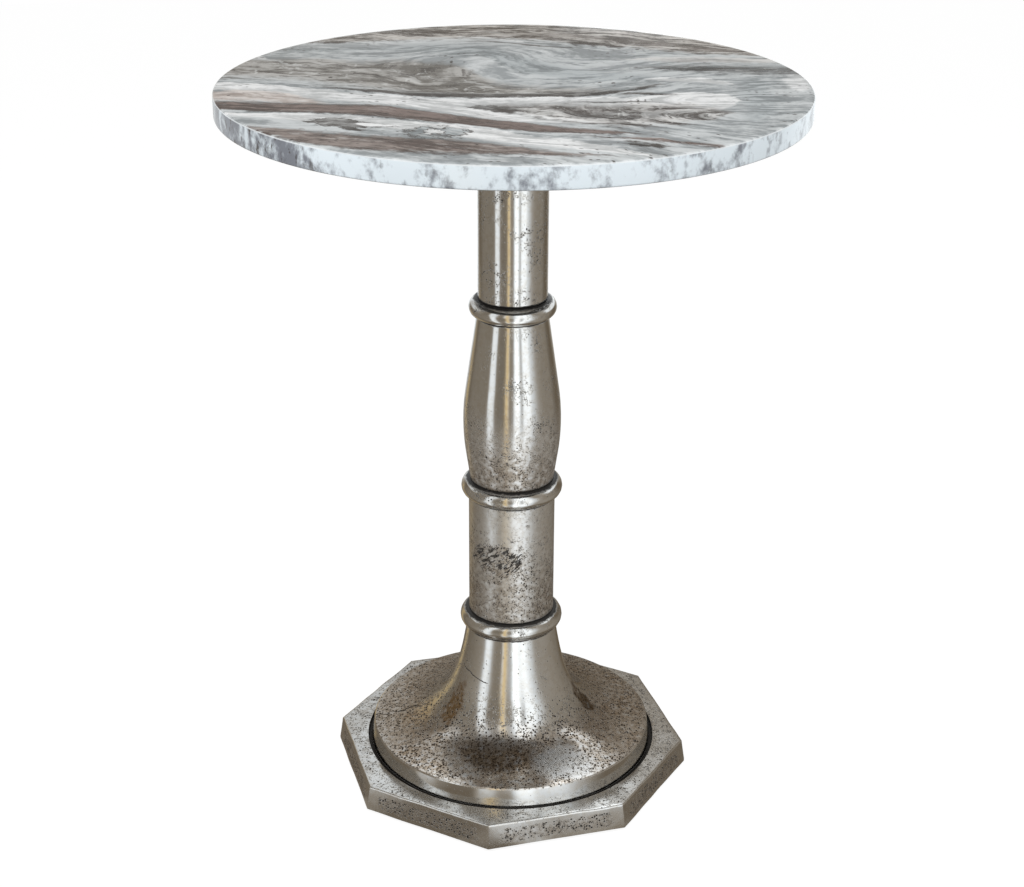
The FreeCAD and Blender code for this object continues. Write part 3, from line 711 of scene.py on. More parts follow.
@dataclass(frozen=True)
class CastNickel:
    """Burnished cast nickel with dark patina in its pits and crevices."""

    wear: Wear
    low: float
    high: float
    roughness: float = 0.17
    tint: Tint = (207, 207, 206)
    warm: Tint = (196, 190, 180)
    grime: Tint = (126, 109, 88)
    patina: Tint = (24, 21, 18)
    crevice: float = 1.2 * MM
    pit_density: float = 430.0
    pit_reach: float = 0.34
    haze: float = 0.2
    film: float = 0.16
    scuff: Patch = Patch((-11.5 * MM, 228.6 * MM), (21.0 * MM, 15.5 * MM), 0.9, 1.3, 0.35)
    # Dark smear on the dish front, partly a stain and partly a painted dark reflection of the slab's
    # underside.
    smear_and_dark_reflection: Patch = Patch((-12.0 * MM, 92.0 * MM), (33.0 * MM, 18.0 * MM), 0.6, 1.6, 0.2)
    # Painted highlight: a cleaner, paler, less metallic patch on the dish's right front stands for a bright
    # reflection.
    painted_highlight: Patch = Patch((50.0 * MM, -96.0 * MM), (28.0 * MM, 22.0 * MM), 0.5, 1.4, 0.2)
    # Painted dark reflections: two brown-black patches at the left and the right of the flare's foot.
    painted_dark_reflection_left: Patch = Patch((-55.0 * MM, -36.0 * MM), (12.0 * MM, 13.0 * MM), 3.0, 1.5, 0.1)
    painted_dark_reflection: Patch = Patch((69.0 * MM, -10.0 * MM), (12.0 * MM, 10.0 * MM), 4.0, 1.5, 0.1)
    rim_top: Point = (16.9 * MM, 19.9 * MM)
    dish_radii: Point = (60.0 * MM, 94.0 * MM)
    pitted_radii: Point = (46.0 * MM, 84.0 * MM)
    crack_back: float = -4.0 * MM
    crack_ends: tuple[Point, Point] = ((-76.0 * MM, -84.0 * MM), (-133.0 * MM, -127.0 * MM))
    # A thin dark line that falls as it runs round the flare.
    dark_line_height: float = 98.5 * MM
    dark_line_fall: float = 9.6 * MM
    dark_line_ends: tuple[Point, Point] = ((-1.22, -1.1), (-0.4, -0.5))
    field_border: Point = (154.5 * MM, 150.5 * MM)
    field_ends: Point = (0.44, 0.38)
    field_heights: tuple[Point, Point] = ((6.0 * MM, 8.0 * MM), (21.5 * MM, 19.5 * MM))

    def zone(self, site: Site) -> Zone:
        """Say how worn this piece is.

        Args:
            site: The place on the piece.

        Returns:
            The wear there.
        """
        zones = {
            Wear.LIGHT: self.light,
            Wear.LOWER_END: self.lower_end,
            Wear.SCUFFED: self.scuffed,
            Wear.DISH: self.dish,
            Wear.FIELDS: self.fields,
        }
        return zones[self.wear](site)

    def light(self, site: Site) -> Zone:
        """Scatter a few clusters of pits."""
        return Zone(site.patches * 0.42 + 0.14, site.patches * 0.1)

    def lower_end(self, site: Site) -> Zone:
        """Pit the lower end more densely.

        Args:
            site: The place on the piece.

        Returns:
            The wear there.
        """
        graph, patches = site.graph, site.patches
        z = graph.parts(site.place)[2]
        lower = graph.ramp(z, self.low * 0.4 + self.high * 0.6, self.low)
        pits = lower * (patches * 0.15 + 0.3) + patches * 0.3 + 0.14
        return Zone(pits, lower * (patches * 0.25 + 0.6))

    def scuffed(self, site: Site) -> Zone:
        """Scuff one patch of the front with slanting strokes, and pit the lower right.

        Args:
            site: The place on the piece.

        Returns:
            The wear there.
        """
        graph, patches = site.graph, site.patches
        x, y, z = graph.parts(site.place)
        slant = graph.vector((x + z) * 110.0, (z - x) * 330.0, y * 60.0)
        strokes = graph.noise(slant, 1.0, 3.0, 0.6)
        patch = self.scuff.share(graph, x, z, patches - 0.5) * graph.ramp(y, 0.0, -0.01)
        marks = graph.ramp(strokes + patch * 0.16, 0.64, 0.74) * graph.ramp(patch, 0.0, 0.3) * 0.9
        foot = graph.ramp(z, 0.24, 0.195)
        right = graph.ramp(x, -0.004, 0.02) * foot
        pits = patches * 0.35 + patch * 0.3 + right * 0.3 + foot * 0.15 + 0.22
        return Zone(pits, patch * 0.3 + patches * 0.15 + foot * 0.35 + 0.14, marks)

    def dish(self, site: Site) -> Zone:
        """Pit and stain the dish, leave neck and rim bright, draw a crack and a thin dark line round the
        flare, and paint dark reflections and a highlight patch.

        Args:
            site: The place on the piece.

        Returns:
            The wear there.
        """
        graph, patches = site.graph, site.patches
        x, y, z = graph.parts(site.place)
        radius = graph.length(x, y)
        above = graph.ramp(z - self.low, *self.rim_top)
        dish = graph.ramp(radius, *self.dish_radii) * above
        pitted = graph.ramp(radius, *self.pitted_radii) * above
        stray = graph.noise(site.place, 90.0, 3.0) - 0.5
        crack = graph.ramp(abs(y - self.crack_back + stray * 0.02), 1.2 * MM, 0.5 * MM)
        crack = crack * graph.between(x, self.crack_ends) * above
        turn = graph.math("ARCTAN2", x, y * -1.0)
        # A thin dark line drawn round the flare, falling as it turns.
        dark_line = abs(z - self.dark_line_height + turn * self.dark_line_fall + stray * 0.006)
        dark_line = graph.ramp(dark_line, 0.7 * MM, 0.2 * MM) * graph.between(turn, self.dark_line_ends)
        marks = graph.clamp(crack + dark_line)
        # Dark smear on the dish front, partly a stain and partly a painted dark reflection of the slab's
        # underside.
        smear_and_dark_reflection = self.smear_and_dark_reflection.share(graph, x, radius, patches - 0.5)
        smear_and_dark_reflection = smear_and_dark_reflection * graph.ramp(y, -0.02, -0.05) * graph.ramp(x, 0.028, 0.022)
        # Painted highlight: a cleaner, paler, less metallic patch on the dish's right front.
        painted_highlight = self.painted_highlight.share(graph, x, y, patches - 0.5)
        # Painted dark reflections at the left and the right of the flare's foot.
        painted_dark_reflection_left = self.painted_dark_reflection_left.share(graph, x, y, stray)
        painted_dark_reflection = self.painted_dark_reflection.share(graph, x, y, stray)
        pits = pitted * (patches * 0.25 + 0.6) + (patches * 0.2 + 0.12) * above + smear_and_dark_reflection * 0.15 - painted_highlight * 0.2
        grime = dish * (patches * 0.25 + smear_and_dark_reflection * 0.25 + 0.5) * (1.0 - painted_highlight * 0.9)
        grime = graph.math("MAXIMUM", grime, graph.math("MAXIMUM", painted_dark_reflection_left, painted_dark_reflection))
        marks = graph.clamp(marks + smear_and_dark_reflection * 0.4)
        return Zone(pits, grime, marks, painted_highlight, graph.clamp(smear_and_dark_reflection * 0.55 + painted_dark_reflection_left * 0.2 + painted_dark_reflection * 0.65))

    def fields(self, site: Site) -> Zone:
        """Pit the middle of each side and of the top, and blacken the groove round the bell foot.

        Args:
            site: The place on the piece.

        Returns:
            The wear there.
        """
        graph, patches = site.graph, site.patches
        x, y, z = graph.parts(site.place)
        radius = graph.length(x, y)
        eighth = (graph.math("ARCTAN2", y, x) - VIEW_TURN) * 4.0 / math.pi + 0.5
        corner = abs(graph.math("FRACT", eighth + 8.0) - 0.5)
        flat = radius * graph.math("COSINE", corner * math.pi / 4)
        fray = (graph.noise(site.place, 160.0, 3.0) - 0.5) * 0.012
        top = graph.ramp(z, self.high - 0.5 * MM, self.high - 0.2 * MM)
        above = top * graph.ramp(flat + fray, *self.field_border)
        beside = (1.0 - top) * graph.ramp(corner + fray * 4.0, *self.field_ends)
        beside = beside * graph.between(z + fray * 0.2, self.field_heights)
        groove = graph.ramp(radius, SEAT_RADIUS + 0.3 * MM, SEAT_RADIUS) * graph.ramp(z, 0.02, 0.021)
        pits = above * (patches * 0.3 + 0.36) + beside * 0.8 + 0.03
        return Zone(pits, patches * 0.2 + beside * 0.2 - top * 0.12 + 0.15, groove)

    def make(self, name: str) -> bpy.types.Material:
        """Build the metal.

        Args:
            name: Name of the material.

        Returns:
            The finished material.
        """
        graph = Finish(name)
        place = graph.place()
        z = graph.parts(place)[2]
        cloud = graph.noise(place, 32.0, 4.0, 0.55)
        mottle = graph.noise(place, 210.0, 4.0, 0.6)
        zone = self.zone(Site(graph, place, graph.ramp(cloud, 0.46, 0.7)))
        distance, chance = graph.cells(place, self.pit_density)
        reach = graph.math("MINIMUM", (zone.pits - chance) * 0.5 + self.pit_reach * 0.42, self.pit_reach)
        pits = graph.clamp((reach - distance) * 9.0)
        ridge = abs(graph.noise(place, self.pit_density * 0.7, 2.0) - 0.5)
        worms = graph.ramp(ridge, 0.035, 0.015) * graph.ramp(mottle, 0.47, 0.53)
        worms = worms * graph.ramp(zone.pits, 0.12, 0.45)
        dark = graph.clamp(pits + worms * 0.85 + zone.marks)
        if self.crevice:
            inside = graph.math("MINIMUM", z - self.low, self.high - z)
            inside = inside + (mottle + cloud - 1.0) * self.crevice * 1.6
            dark = graph.math("MAXIMUM", dark, graph.ramp(inside, self.crevice * 1.5, self.crevice * 0.5))
        metal = graph.mix(graph.ramp(mottle, 0.4, 0.65) * 0.4, self.tint, self.warm)
        metal = graph.mix(zone.grime * graph.ramp(mottle, 0.25, 0.55), metal, self.grime)
        # Painted dark reflections on the bell, in the patina colour, partly a smear.
        metal = graph.mix(zone.painted_dark_reflection, metal, self.patina)
        dull = self.roughness + (mottle - 0.5) * 0.1 + zone.grime * self.haze + zone.satin * 0.12
        inputs = {
            "Base Color": graph.mix(dark * 0.95, metal, self.patina),
            "Metallic": 1.0 - dark * 0.5 - zone.grime * self.film - zone.satin * 0.12,
            "Specular IOR Level": 0.1,
            "Roughness": dull + dark * 0.3,
        }
        return graph.surface(inputs, mottle * 0.015 - dark * 0.5, 0.35 * MM)


@dataclass(frozen=True)
class PlainMetal:
    """A machined metal with fine turning marks and stains."""

    name: str
    tint: Tint
    stain: Tint
    roughness: float

    def make(self) -> bpy.types.Material:
        """Build the metal of the hidden fixings.

        Returns:
            The finished material.
        """
        graph = Finish(self.name)
        place = graph.place()
        x, y, z = graph.parts(place)
        marks = graph.noise(graph.vector(x * 20.0, y * 20.0, z * 900.0), 1.0, 3.0)
        blot = graph.noise(place, 160.0, 4.0, 0.6)
        colour = graph.mix(graph.ramp(blot, 0.45, 0.7), self.tint, self.stain)
        inputs = {"Base Color": colour, "Metallic": 1.0, "Roughness": self.roughness + (marks - 0.5) * 0.2}
        return graph.surface(inputs, marks, 0.05 * MM)


@dataclass(frozen=True)
class Moulded:
    """A moulded soft or hard polymer with a fine grain."""

    name: str
    tint: Tint
    bloom: Tint
    roughness: float
    grain: float

    def make(self) -> bpy.types.Material:
        """Build the polymer.

        Returns:
            The finished material.
        """
        graph = Finish(self.name)
        place = graph.place()
        grain = graph.noise(place, self.grain, 2.0)
        haze = graph.noise(place, 70.0, 3.0)
        colour = graph.mix(graph.ramp(haze, 0.35, 0.75), self.tint, self.bloom)
        inputs = {"Base Color": colour, "Roughness": self.roughness + (grain - 0.5) * 0.15}
        return graph.surface(inputs, grain, 0.08 * MM)


class Outline:
    """Half outline of a turned piece, drawn as points of radius and height."""

    def __init__(self, radius: float, height: float) -> None:
        """Start at a point."""
        self.points: list[Point] = [(radius, height)]

    def line(self, radius: float, height: float) -> Outline:
        """Draw a straight run, divided evenly.

        Args:
            radius: Radius at its end.
            height: Height at its end.

        Returns:
            This outline.
        """
        start = self.points[-1]
        out, up = radius - start[0], height - start[1]
        count = max(1, round(math.hypot(out, up) / STEP))
        for index in range(1, count + 1):
            share = index / count
            self.points.append((start[0] + out * share, start[1] + up * share))
        return self

    def arc(self, centre: Point, radius: float, start: float, end: float) -> Outline:
        """Draw an arc.

        Args:
            centre: Radius and height of its centre.
            radius: Its own radius.
            start: Angle from the outward direction at its start, in radians.
            end: The angle at its end.

        Returns:
            This outline.
        """
        count = max(6, round(abs(end - start) * radius / STEP))
        for index in range(count + 1):
            angle = start + (end - start) * index / count
            self.points.append((centre[0] + radius * math.cos(angle), centre[1] + radius * math.sin(angle)))
        return self

    def sweep(self, first: Point, second: Point, end: Point) -> Outline:
        """Draw a sweep between two handles.

        Args:
            first: The handle that the sweep leaves towards.
            second: The handle that it arrives from.
            end: Its end.

        Returns:
            This outline.
        """
        start = self.points[-1]
        count = round(math.dist(start, end) / STEP)
        for index in range(1, count + 1):
            share = index / count
            rest = 1.0 - share
            weights = (rest ** 3, 3 * rest ** 2 * share, 3 * rest * share ** 2, share ** 3)
            corners = (start, first, second, end)
            self.points.append(tuple(sum(w * c[i] for w, c in zip(weights, corners)) for i in (0, 1)))
        return self


class Lathe:
    """Node tree that turns a half outline about the axis and roughens it as casting does."""

    AXIS = 1.0 * MM
    WELD = 0.001 * MM
    SHARP = math.radians(35.0)

    def __init__(self) -> None:
        """Build the tree and keep the identifiers of its inputs."""
        self.tree = bpy.data.node_groups.new("turned_casting", "GeometryNodeTree")
        kinds = {
            "Outline": "NodeSocketGeometry",
            "Sides": "NodeSocketInt",
            "Ripple": "NodeSocketFloat",
            "Waves": "NodeSocketFloat",
            "Seed": "NodeSocketFloat",
            "Finish": "NodeSocketMaterial",
        }
        add = self.tree.interface.new_socket
        sockets = [add(name, in_out="INPUT", socket_type=kind) for name, kind in kinds.items()]
        self.keys = {socket.name: socket.identifier for socket in sockets}
        add("Piece", in_out="OUTPUT", socket_type="NodeSocketGeometry")
        self.write(Graph(self.tree))

    def write(self, graph: Graph) -> None:
        """Write the nodes of the tree.

        Args:
            graph: The empty graph of the tree.
        """
        given = graph.add("NodeGroupInput", {})
        profile = graph.put("GeometryNodeMeshToCurve", {0: graph.field(given, "Outline")})
        round_path = {"Resolution": graph.field(given, "Sides"), "Radius": self.AXIS}
        path = graph.put("GeometryNodeCurvePrimitiveCircle", round_path)
        piece = graph.put("GeometryNodeCurveToMesh", {"Curve": path, "Profile Curve": profile})
        piece = graph.put("GeometryNodeMergeByDistance", {"Geometry": piece, "Distance": self.WELD})
        waves = {"W": graph.field(given, "Seed"), "Scale": graph.field(given, "Waves"), "Detail": 2.0}
        swell = graph.put("ShaderNodeTexNoise", waves, noise_dimensions="4D")
        amount = (swell - 0.5) * graph.field(given, "Ripple")
        normal = graph.put("GeometryNodeInputNormal", {})
        push = graph.put("ShaderNodeVectorMath", {0: normal, "Scale": amount}, operation="SCALE")
        piece = graph.put("GeometryNodeSetPosition", {"Geometry": piece, "Offset": push})
        piece = graph.put("GeometryNodeSetShadeSmooth", {"Geometry": piece})
        bend = graph.put("GeometryNodeInputMeshEdgeAngle", {})
        crisp = graph.put("FunctionNodeCompare", {0: bend, 1: self.SHARP}, operation="GREATER_THAN")
        creases = {"Geometry": piece, "Selection": crisp, "Shade Smooth": False}
        piece = graph.put("GeometryNodeSetShadeSmooth", creases, domain="EDGE")
        piece = graph.put("GeometryNodeRealizeInstances", {"Geometry": piece})
        finish = graph.field(given, "Finish")
        piece = graph.put("GeometryNodeSetMaterial", {"Geometry": piece, "Material": finish})
        graph.add("NodeGroupOutput", {0: piece})

    def turn(self, name: str, outline: Outline, finish: bpy.types.Material, closed: bool = True,
             sides: int = 192, ripple: float = 0.0, waves: float = 40.0) -> bpy.types.Object:
        """Turn one piece.

        Args:
            name: Name of the piece.
            outline: Its half outline, up its outside and down its inside.
            finish: Its material.
            closed: False where the outline starts and ends on the axis.
            sides: Number of faces round it.
            ripple: Height of the casting's unevenness.
            waves: Number of its waves in a metre.

        Returns:
            The piece as a plain mesh.
        """
        points = [(radius - self.AXIS, -height, 0.0) for radius, height in reversed(outline.points)]
        edges = [(index, index + 1) for index in range(len(points) - 1)]
        if closed:
            edges.append((len(points) - 1, 0))
        mesh = bpy.data.meshes.new(name)
        mesh.from_pydata(points, edges, [])
        piece = show(name, mesh)
        modifier = piece.modifiers.new("turning", "NODES")
        modifier.node_group = self.tree
        seed = float(len(name))
        values = {"Sides": sides, "Ripple": ripple, "Waves": waves, "Seed": seed, "Finish": finish}
        for key, value in values.items():
            modifier[self.keys[key]] = value
        settle(piece, modifier)
        return piece


class Slot(Enum):
    """Material slot names passed with the pieces built here, which build their own finishes."""

    MARBLE = "marble"
    NICKEL = "antique_nickel"


def stand_in(piece: bpy.types.Object, node: str, slot: Slot) -> bpy.types.Object:
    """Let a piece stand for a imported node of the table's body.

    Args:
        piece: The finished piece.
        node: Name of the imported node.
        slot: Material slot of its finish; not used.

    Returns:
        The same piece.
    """
    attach(piece, TABLE_BODY)
    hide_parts(node)
    return piece


@dataclass
class Tabletop:
    """The marble slab with its eased edges."""

    lathe: Lathe
    node: str = "marble_top"
    edge: float = 2.0 * MM
    sides: int = 256

    def build(self) -> list[bpy.types.Object]:
        """Turn the slab and dress it.

        Returns:
            The slab.
        """
        low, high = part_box(self.node)
        radius = high.x
        inner = radius - self.edge
        outline = Outline(0.0, low.z).line(inner, low.z)
        outline.arc((inner, low.z + self.edge), self.edge, -QUARTER, 0.0)
        outline.arc((inner, high.z - self.edge), self.edge, 0.0, QUARTER)
        outline.line(0.0, high.z)
        slab = self.lathe.turn("stone_slab", outline, Marble().make(), closed=False, sides=self.sides)
        return [stand_in(slab, self.node, Slot.MARBLE)]


@dataclass
class Pedestal:
    """The turned sections between the slab and the plinth."""

    lathe: Lathe
    ease: float = 0.9 * MM
    belly_curve: float = 217.0 * MM
    belly_height: float = 355.0 * MM
    rim_rise: float = 19.6 * MM
    rim_slope: float = math.radians(8.0)
    rim_handle: float = 68.0 * MM
    neck_lean: float = math.radians(8.8)
    neck_handle: float = 75.0 * MM
    bell_wall: float = 6.0 * MM

    def cast(self, node: str, outline: Outline, finish: bpy.types.Material,
             **turning: Any) -> bpy.types.Object:
        """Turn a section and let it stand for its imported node."""
        return stand_in(self.lathe.turn(f"cast_{node}", outline, finish, **turning), node, Slot.NICKEL)

    def column(self, node: str, wear: Wear, roughness: float) -> bpy.types.Object:
        """Turn a plain column.

        Args:
            node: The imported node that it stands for.
            wear: How its casting is pitted.
            roughness: Roughness of its finish.

        Returns:
            The column.
        """
        low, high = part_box(node)
        bore, outer = radii(node)
        outline = Outline(bore, low.z).line(outer - self.ease, low.z)
        outline.arc((outer - self.ease, low.z + self.ease), self.ease, -QUARTER, 0.0)
        outline.line(outer, high.z - self.ease)
        outline.arc((outer - self.ease, high.z - self.ease), self.ease, 0.0, QUARTER)
        outline.line(bore, high.z).line(bore, low.z + STEP)
        finish = CastNickel(wear, low.z, high.z, roughness).make(f"nickel_{node}")
        return self.cast(node, outline, finish, ripple=0.16 * MM)

    def bead(self, node: str, below: str, above: str) -> bpy.types.Object:
        """Turn a bead ring with the spigots that centre its neighbours.

        Args:
            node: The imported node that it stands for.
            below: The section under it.
            above: The section on it.

        Returns:
            The ring.
        """
        low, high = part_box(node)
        bottom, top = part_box(below)[1].z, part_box(above)[0].z
        half = (top - bottom) / 2
        bore, outer = radii(node)
        spigot_low, spigot_high = radii(node, high=bottom - MM)[1], radii(node, low=top + MM)[1]
        centre = (outer - half, bottom + half)
        outline = Outline(bore, low.z).line(spigot_low, low.z).line(spigot_low, bottom)
        outline.line(centre[0], bottom)
        outline.arc(centre, half, -QUARTER, QUARTER)
        outline.line(spigot_high, top).line(spigot_high, high.z).line(bore, high.z).line(bore, low.z + STEP)
        finish = CastNickel(Wear.LIGHT, bottom - half, top, 0.11).make(f"nickel_{node}")
        return self.cast(node, outline, finish, ripple=0.3 * MM)

    def touch(self, centre: Point, end: Point, side: float) -> float:
        """Find the angle at which a taper from its end touches the belly's arc."""
        lean = math.atan2(end[1] - centre[1], end[0] - centre[0])
        return lean - side * math.acos(self.belly_curve / math.dist(centre, end))

    def vase(self) -> bpy.types.Object:
        """Turn the section that swells to a belly between two tapers.

        Returns:
            The vase section.
        """
        node = "vase_section"
        low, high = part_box(node)
        bore, outer = radii(node)
        foot, head = radii(node, high=low.z + MM)[1], radii(node, low=high.z - MM)[1]
        centre = (outer - self.belly_curve, self.belly_height)
        start = self.touch(centre, (foot, low.z), -1.0)
        end = self.touch(centre, (head, high.z), 1.0)
        swell = [c + self.belly_curve * part(start) for c, part in zip(centre, (math.cos, math.sin))]
        outline = Outline(bore, low.z).line(foot, low.z).line(*swell)
        outline.arc(centre, self.belly_curve, start, end)
        outline.line(head, high.z).line(bore, high.z).line(bore, low.z + STEP)
        finish = CastNickel(Wear.LOWER_END, low.z, high.z, 0.09, haze=0.4, film=0.5).make("nickel_vase")
        return self.cast(node, outline, finish, ripple=0.2 * MM)

    def bell(self) -> bpy.types.Object:
        """Turn the flared foot.

        Returns:
            The bell foot.
        """
        node = "bell_foot"
        low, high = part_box(node)
        bore, foot = radii(node)
        rim_height = low.z + self.rim_rise
        rim = radii(node, low=rim_height - 0.2 * MM)[1]
        neck = radii(node, low=high.z - MM)[1]
        leave = (rim - self.rim_handle * math.cos(self.rim_slope),
                 rim_height + self.rim_handle * math.sin(self.rim_slope))
        arrive = (neck + self.neck_handle * math.sin(self.neck_lean),
                  high.z - self.neck_handle * math.cos(self.neck_lean))
        wall = self.bell_wall
        outline = Outline(foot - wall, low.z).line(foot, low.z).line(rim + 0.3 * MM, rim_height - self.ease)
        outline.line(rim - self.ease, rim_height + 0.3 * MM)
        outline.sweep(leave, arrive, (neck, high.z)).line(bore, high.z)
        outline.sweep((bore + wall, arrive[1] - wall), (leave[0], leave[1] - 2 * wall),
                      (rim - 2 * wall, rim_height - wall))
        outline.line(foot - wall, low.z + STEP)
        finish = CastNickel(Wear.DISH, low.z + 1.0 * MM, high.z, 0.1, grime=(152, 126, 92),
                            patina=(34, 25, 16), pit_reach=0.5, haze=0.06).make("nickel_bell")
        return self.cast(node, outline, finish, sides=320, ripple=0.5 * MM, waves=30.0)

    def build(self) -> list[bpy.types.Object]:
        """Turn every section from the top down.

        Returns:
            The sections.
        """
        return [
            self.column("upper_column", Wear.LIGHT, 0.11),
            self.bead("upper_bead", "vase_section", "upper_column"),
            self.vase(),
            self.bead("middle_bead", "lower_column", "vase_section"),
            self.column("lower_column", Wear.SCUFFED, 0.33),
            self.bead("lower_bead", "bell_foot", "lower_column"),
            self.bell(),
        ]


@dataclass
class Plinth:
    """The octagonal cast slab with a round seat for the bell foot."""

    node: str = "plinth"
    sides: int = 8
    seat_radius: float = SEAT_RADIUS
    seat_depth: float = 3.0 * MM
    draft: float = 2.8 * MM
    arris: float = 1.6 * MM
    corner: float = 1.6 * MM
    flat_points: int = 40
    corner_points: int = 5
    top_steps: int = 9
    arris_steps: int = 6
    side_steps: int = 10
    ripple: float = 0.5 * MM
    waves: float = 38.0
    seed: int = 5
    nut_pocket: float = 12.5 * MM
    nut_pocket_depth: float = 13.0 * MM
    pad_gap: float = 1.0 * MM
    bond: float = 0.1 * MM
    insert_radius: float = 6.0 * MM
    drill_sides: int = 48

    def ring(self, inradius: float, height: float) -> list[Vector]:
        """Lay points round the octagon, with its corners eased.

        Args:
            inradius: Distance of its flats from the axis.
            height: Height of the ring.

        Returns:
            The points in order.
        """
        turn = math.tau / self.sides
        reach = (inradius - self.corner) / math.cos(turn / 2)
        points = []
        for side in range(self.sides):
            facing = side * turn
            ends = [Vector((reach, 0, 0)) for _ in range(2)]
            for end, share in zip(ends, (-0.5, 0.5)):
                end.rotate(Matrix.Rotation(facing + share * turn, 3, "Z"))
                end += self.corner * Vector((math.cos(facing), math.sin(facing), 0))
            points += [ends[0].lerp(ends[1], index / self.flat_points) for index in range(self.flat_points)]
            middle = Matrix.Rotation(facing + turn / 2, 3, "Z") @ Vector((reach, 0, 0))
            for index in range(self.corner_points):
                angle = facing + turn * index / self.corner_points
                points.append(middle + self.corner * Vector((math.cos(angle), math.sin(angle), 0)))
        return [Vector((point.x, point.y, height)) for point in points]

    def circle(self, radius: float, height: float) -> list[Vector]:
        """Lay points round a circle, in line with those of the octagon."""
        return [point.normalized() * radius + Vector((0, 0, height)) for point in self.ring(1.0, 0.0)]

    def rings(self) -> list[list[Vector]]:
        """List the rings from the seat over the top and the sides to the underside.

        Returns:
            The rings in order.
        """
        low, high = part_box(self.node)
        bore = radii(self.node)[0]
        foot = high.x
        head = foot - self.draft
        floor = high.z - self.seat_depth
        rings = [self.circle(bore, floor)]
        rings += [self.circle(self.seat_radius * share, floor) for share in (0.5, 0.9, 1.0)]
        rings += [self.circle(self.seat_radius, floor + self.seat_depth * share) for share in (0.4, 0.8)]
        rings.append(self.circle(self.seat_radius + 0.5 * MM, high.z))
        inner, outer = rings[-1], self.ring(head - self.arris, high.z)
        for index in range(1, self.top_steps + 1):
            rings.append([a.lerp(b, index / self.top_steps) for a, b in zip(inner, outer)])
        for index in range(1, self.arris_steps + 1):
            angle = QUARTER * index / self.arris_steps
            inset = self.arris * (1 - math.sin(angle))
            rings.append(self.ring(head - inset, high.z - self.arris * (1 - math.cos(angle))))
        side = high.z - self.arris - low.z
        for index in range(1, self.side_steps):
            share = index / self.side_steps
            rings.append(self.ring(head + self.draft * share, high.z - self.arris - side * share))
        rings.append(self.ring(foot - 0.3 * MM, low.z + 0.3 * MM))
        rings.append(self.ring(foot - 1.2 * MM, low.z))
        rings += [self.circle(self.seat_radius * share, low.z) for share in (1.0, 0.5)]
        roof = low.z + self.nut_pocket_depth
        pocket = ((self.nut_pocket, low.z), (self.nut_pocket, roof), (bore, roof))
        return rings + [self.circle(radius, height) for radius, height in pocket]

    def drill(self, piece: bpy.types.Object, radius: float, top: float) -> None:
        """Drill a round hole up into the underside over each glide.

        Args:
            piece: The plinth.
            radius: Radius of the holes.
            top: Height of their ends.
        """
        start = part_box(self.node)[0].z - MM
        bits = bmesh.new()
        for glide in GLIDES:
            middle = sum(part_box(f"glide_pad_{glide}"), Vector()) / 2
            place = Matrix.Translation((middle.x, middle.y, (start + top) / 2))
            bmesh.ops.create_cone(bits, cap_ends=True, segments=self.drill_sides, radius1=radius,
                                  radius2=radius, depth=top - start, matrix=place)
        mesh = bpy.data.meshes.new("drill_bits")
        bits.to_mesh(mesh)
        bits.free()
        tool = show("drill_bits", mesh)
        modifier = piece.modifiers.new("drilling", "BOOLEAN")
        modifier.object = tool
        settle(piece, modifier)
        bpy.data.objects.remove(tool)
        bpy.data.meshes.remove(mesh)

    def build(self) -> list[bpy.types.Object]:
        """Lay the slab's faces between its rings and roughen its outside.

        Returns:
            The plinth.
        """
        low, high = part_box(self.node)
        rings = self.rings()
        size = len(rings[0])
        noise.seed_set(self.seed)
        points = [self.roughen(point, high.z) for ring in rings for point in ring]
        faces = []
        for row in range(len(rings)):
            after = (row + 1) % len(rings)
            for index in range(size):
                beside = (index + 1) % size
                corners = ((row, index), (after, index), (after, beside), (row, beside))
                faces.append([ring * size + step for ring, step in corners])
        mesh = bpy.data.meshes.new("cast_plinth")
        mesh.from_pydata(points, [], faces)
        finish = CastNickel(Wear.FIELDS, low.z, high.z, 0.2, crevice=0.0, pit_reach=0.44)
        mesh.materials.append(finish.make("nickel_plinth"))
        piece = show("cast_plinth", mesh)
        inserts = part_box("glide_inserts")
        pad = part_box("glide_pad_1")
        self.drill(piece, (pad[1].x - pad[0].x) / 2 + self.pad_gap, inserts[0].z)
        self.drill(piece, self.insert_radius + self.bond, inserts[1].z)
        piece.data.shade_smooth()
        piece.data.set_sharp_from_angle(angle=Lathe.SHARP)
        return [stand_in(piece, self.node, Slot.NICKEL)]

    def roughen(self, point: Vector, top: float) -> Vector:
        """Move a point of the outside by the casting's unevenness.

        Args:
            point: The point as drawn.
            top: Height of the slab's upper face.

        Returns:
            The point as cast.
        """
        if math.hypot(point.x, point.y) < self.seat_radius + MM:
            return point
        swell = noise.noise_vector(point * self.waves) * self.ripple
        return point + Vector((swell.x, swell.y, swell.z if point.z > top / 2 else 0.0))


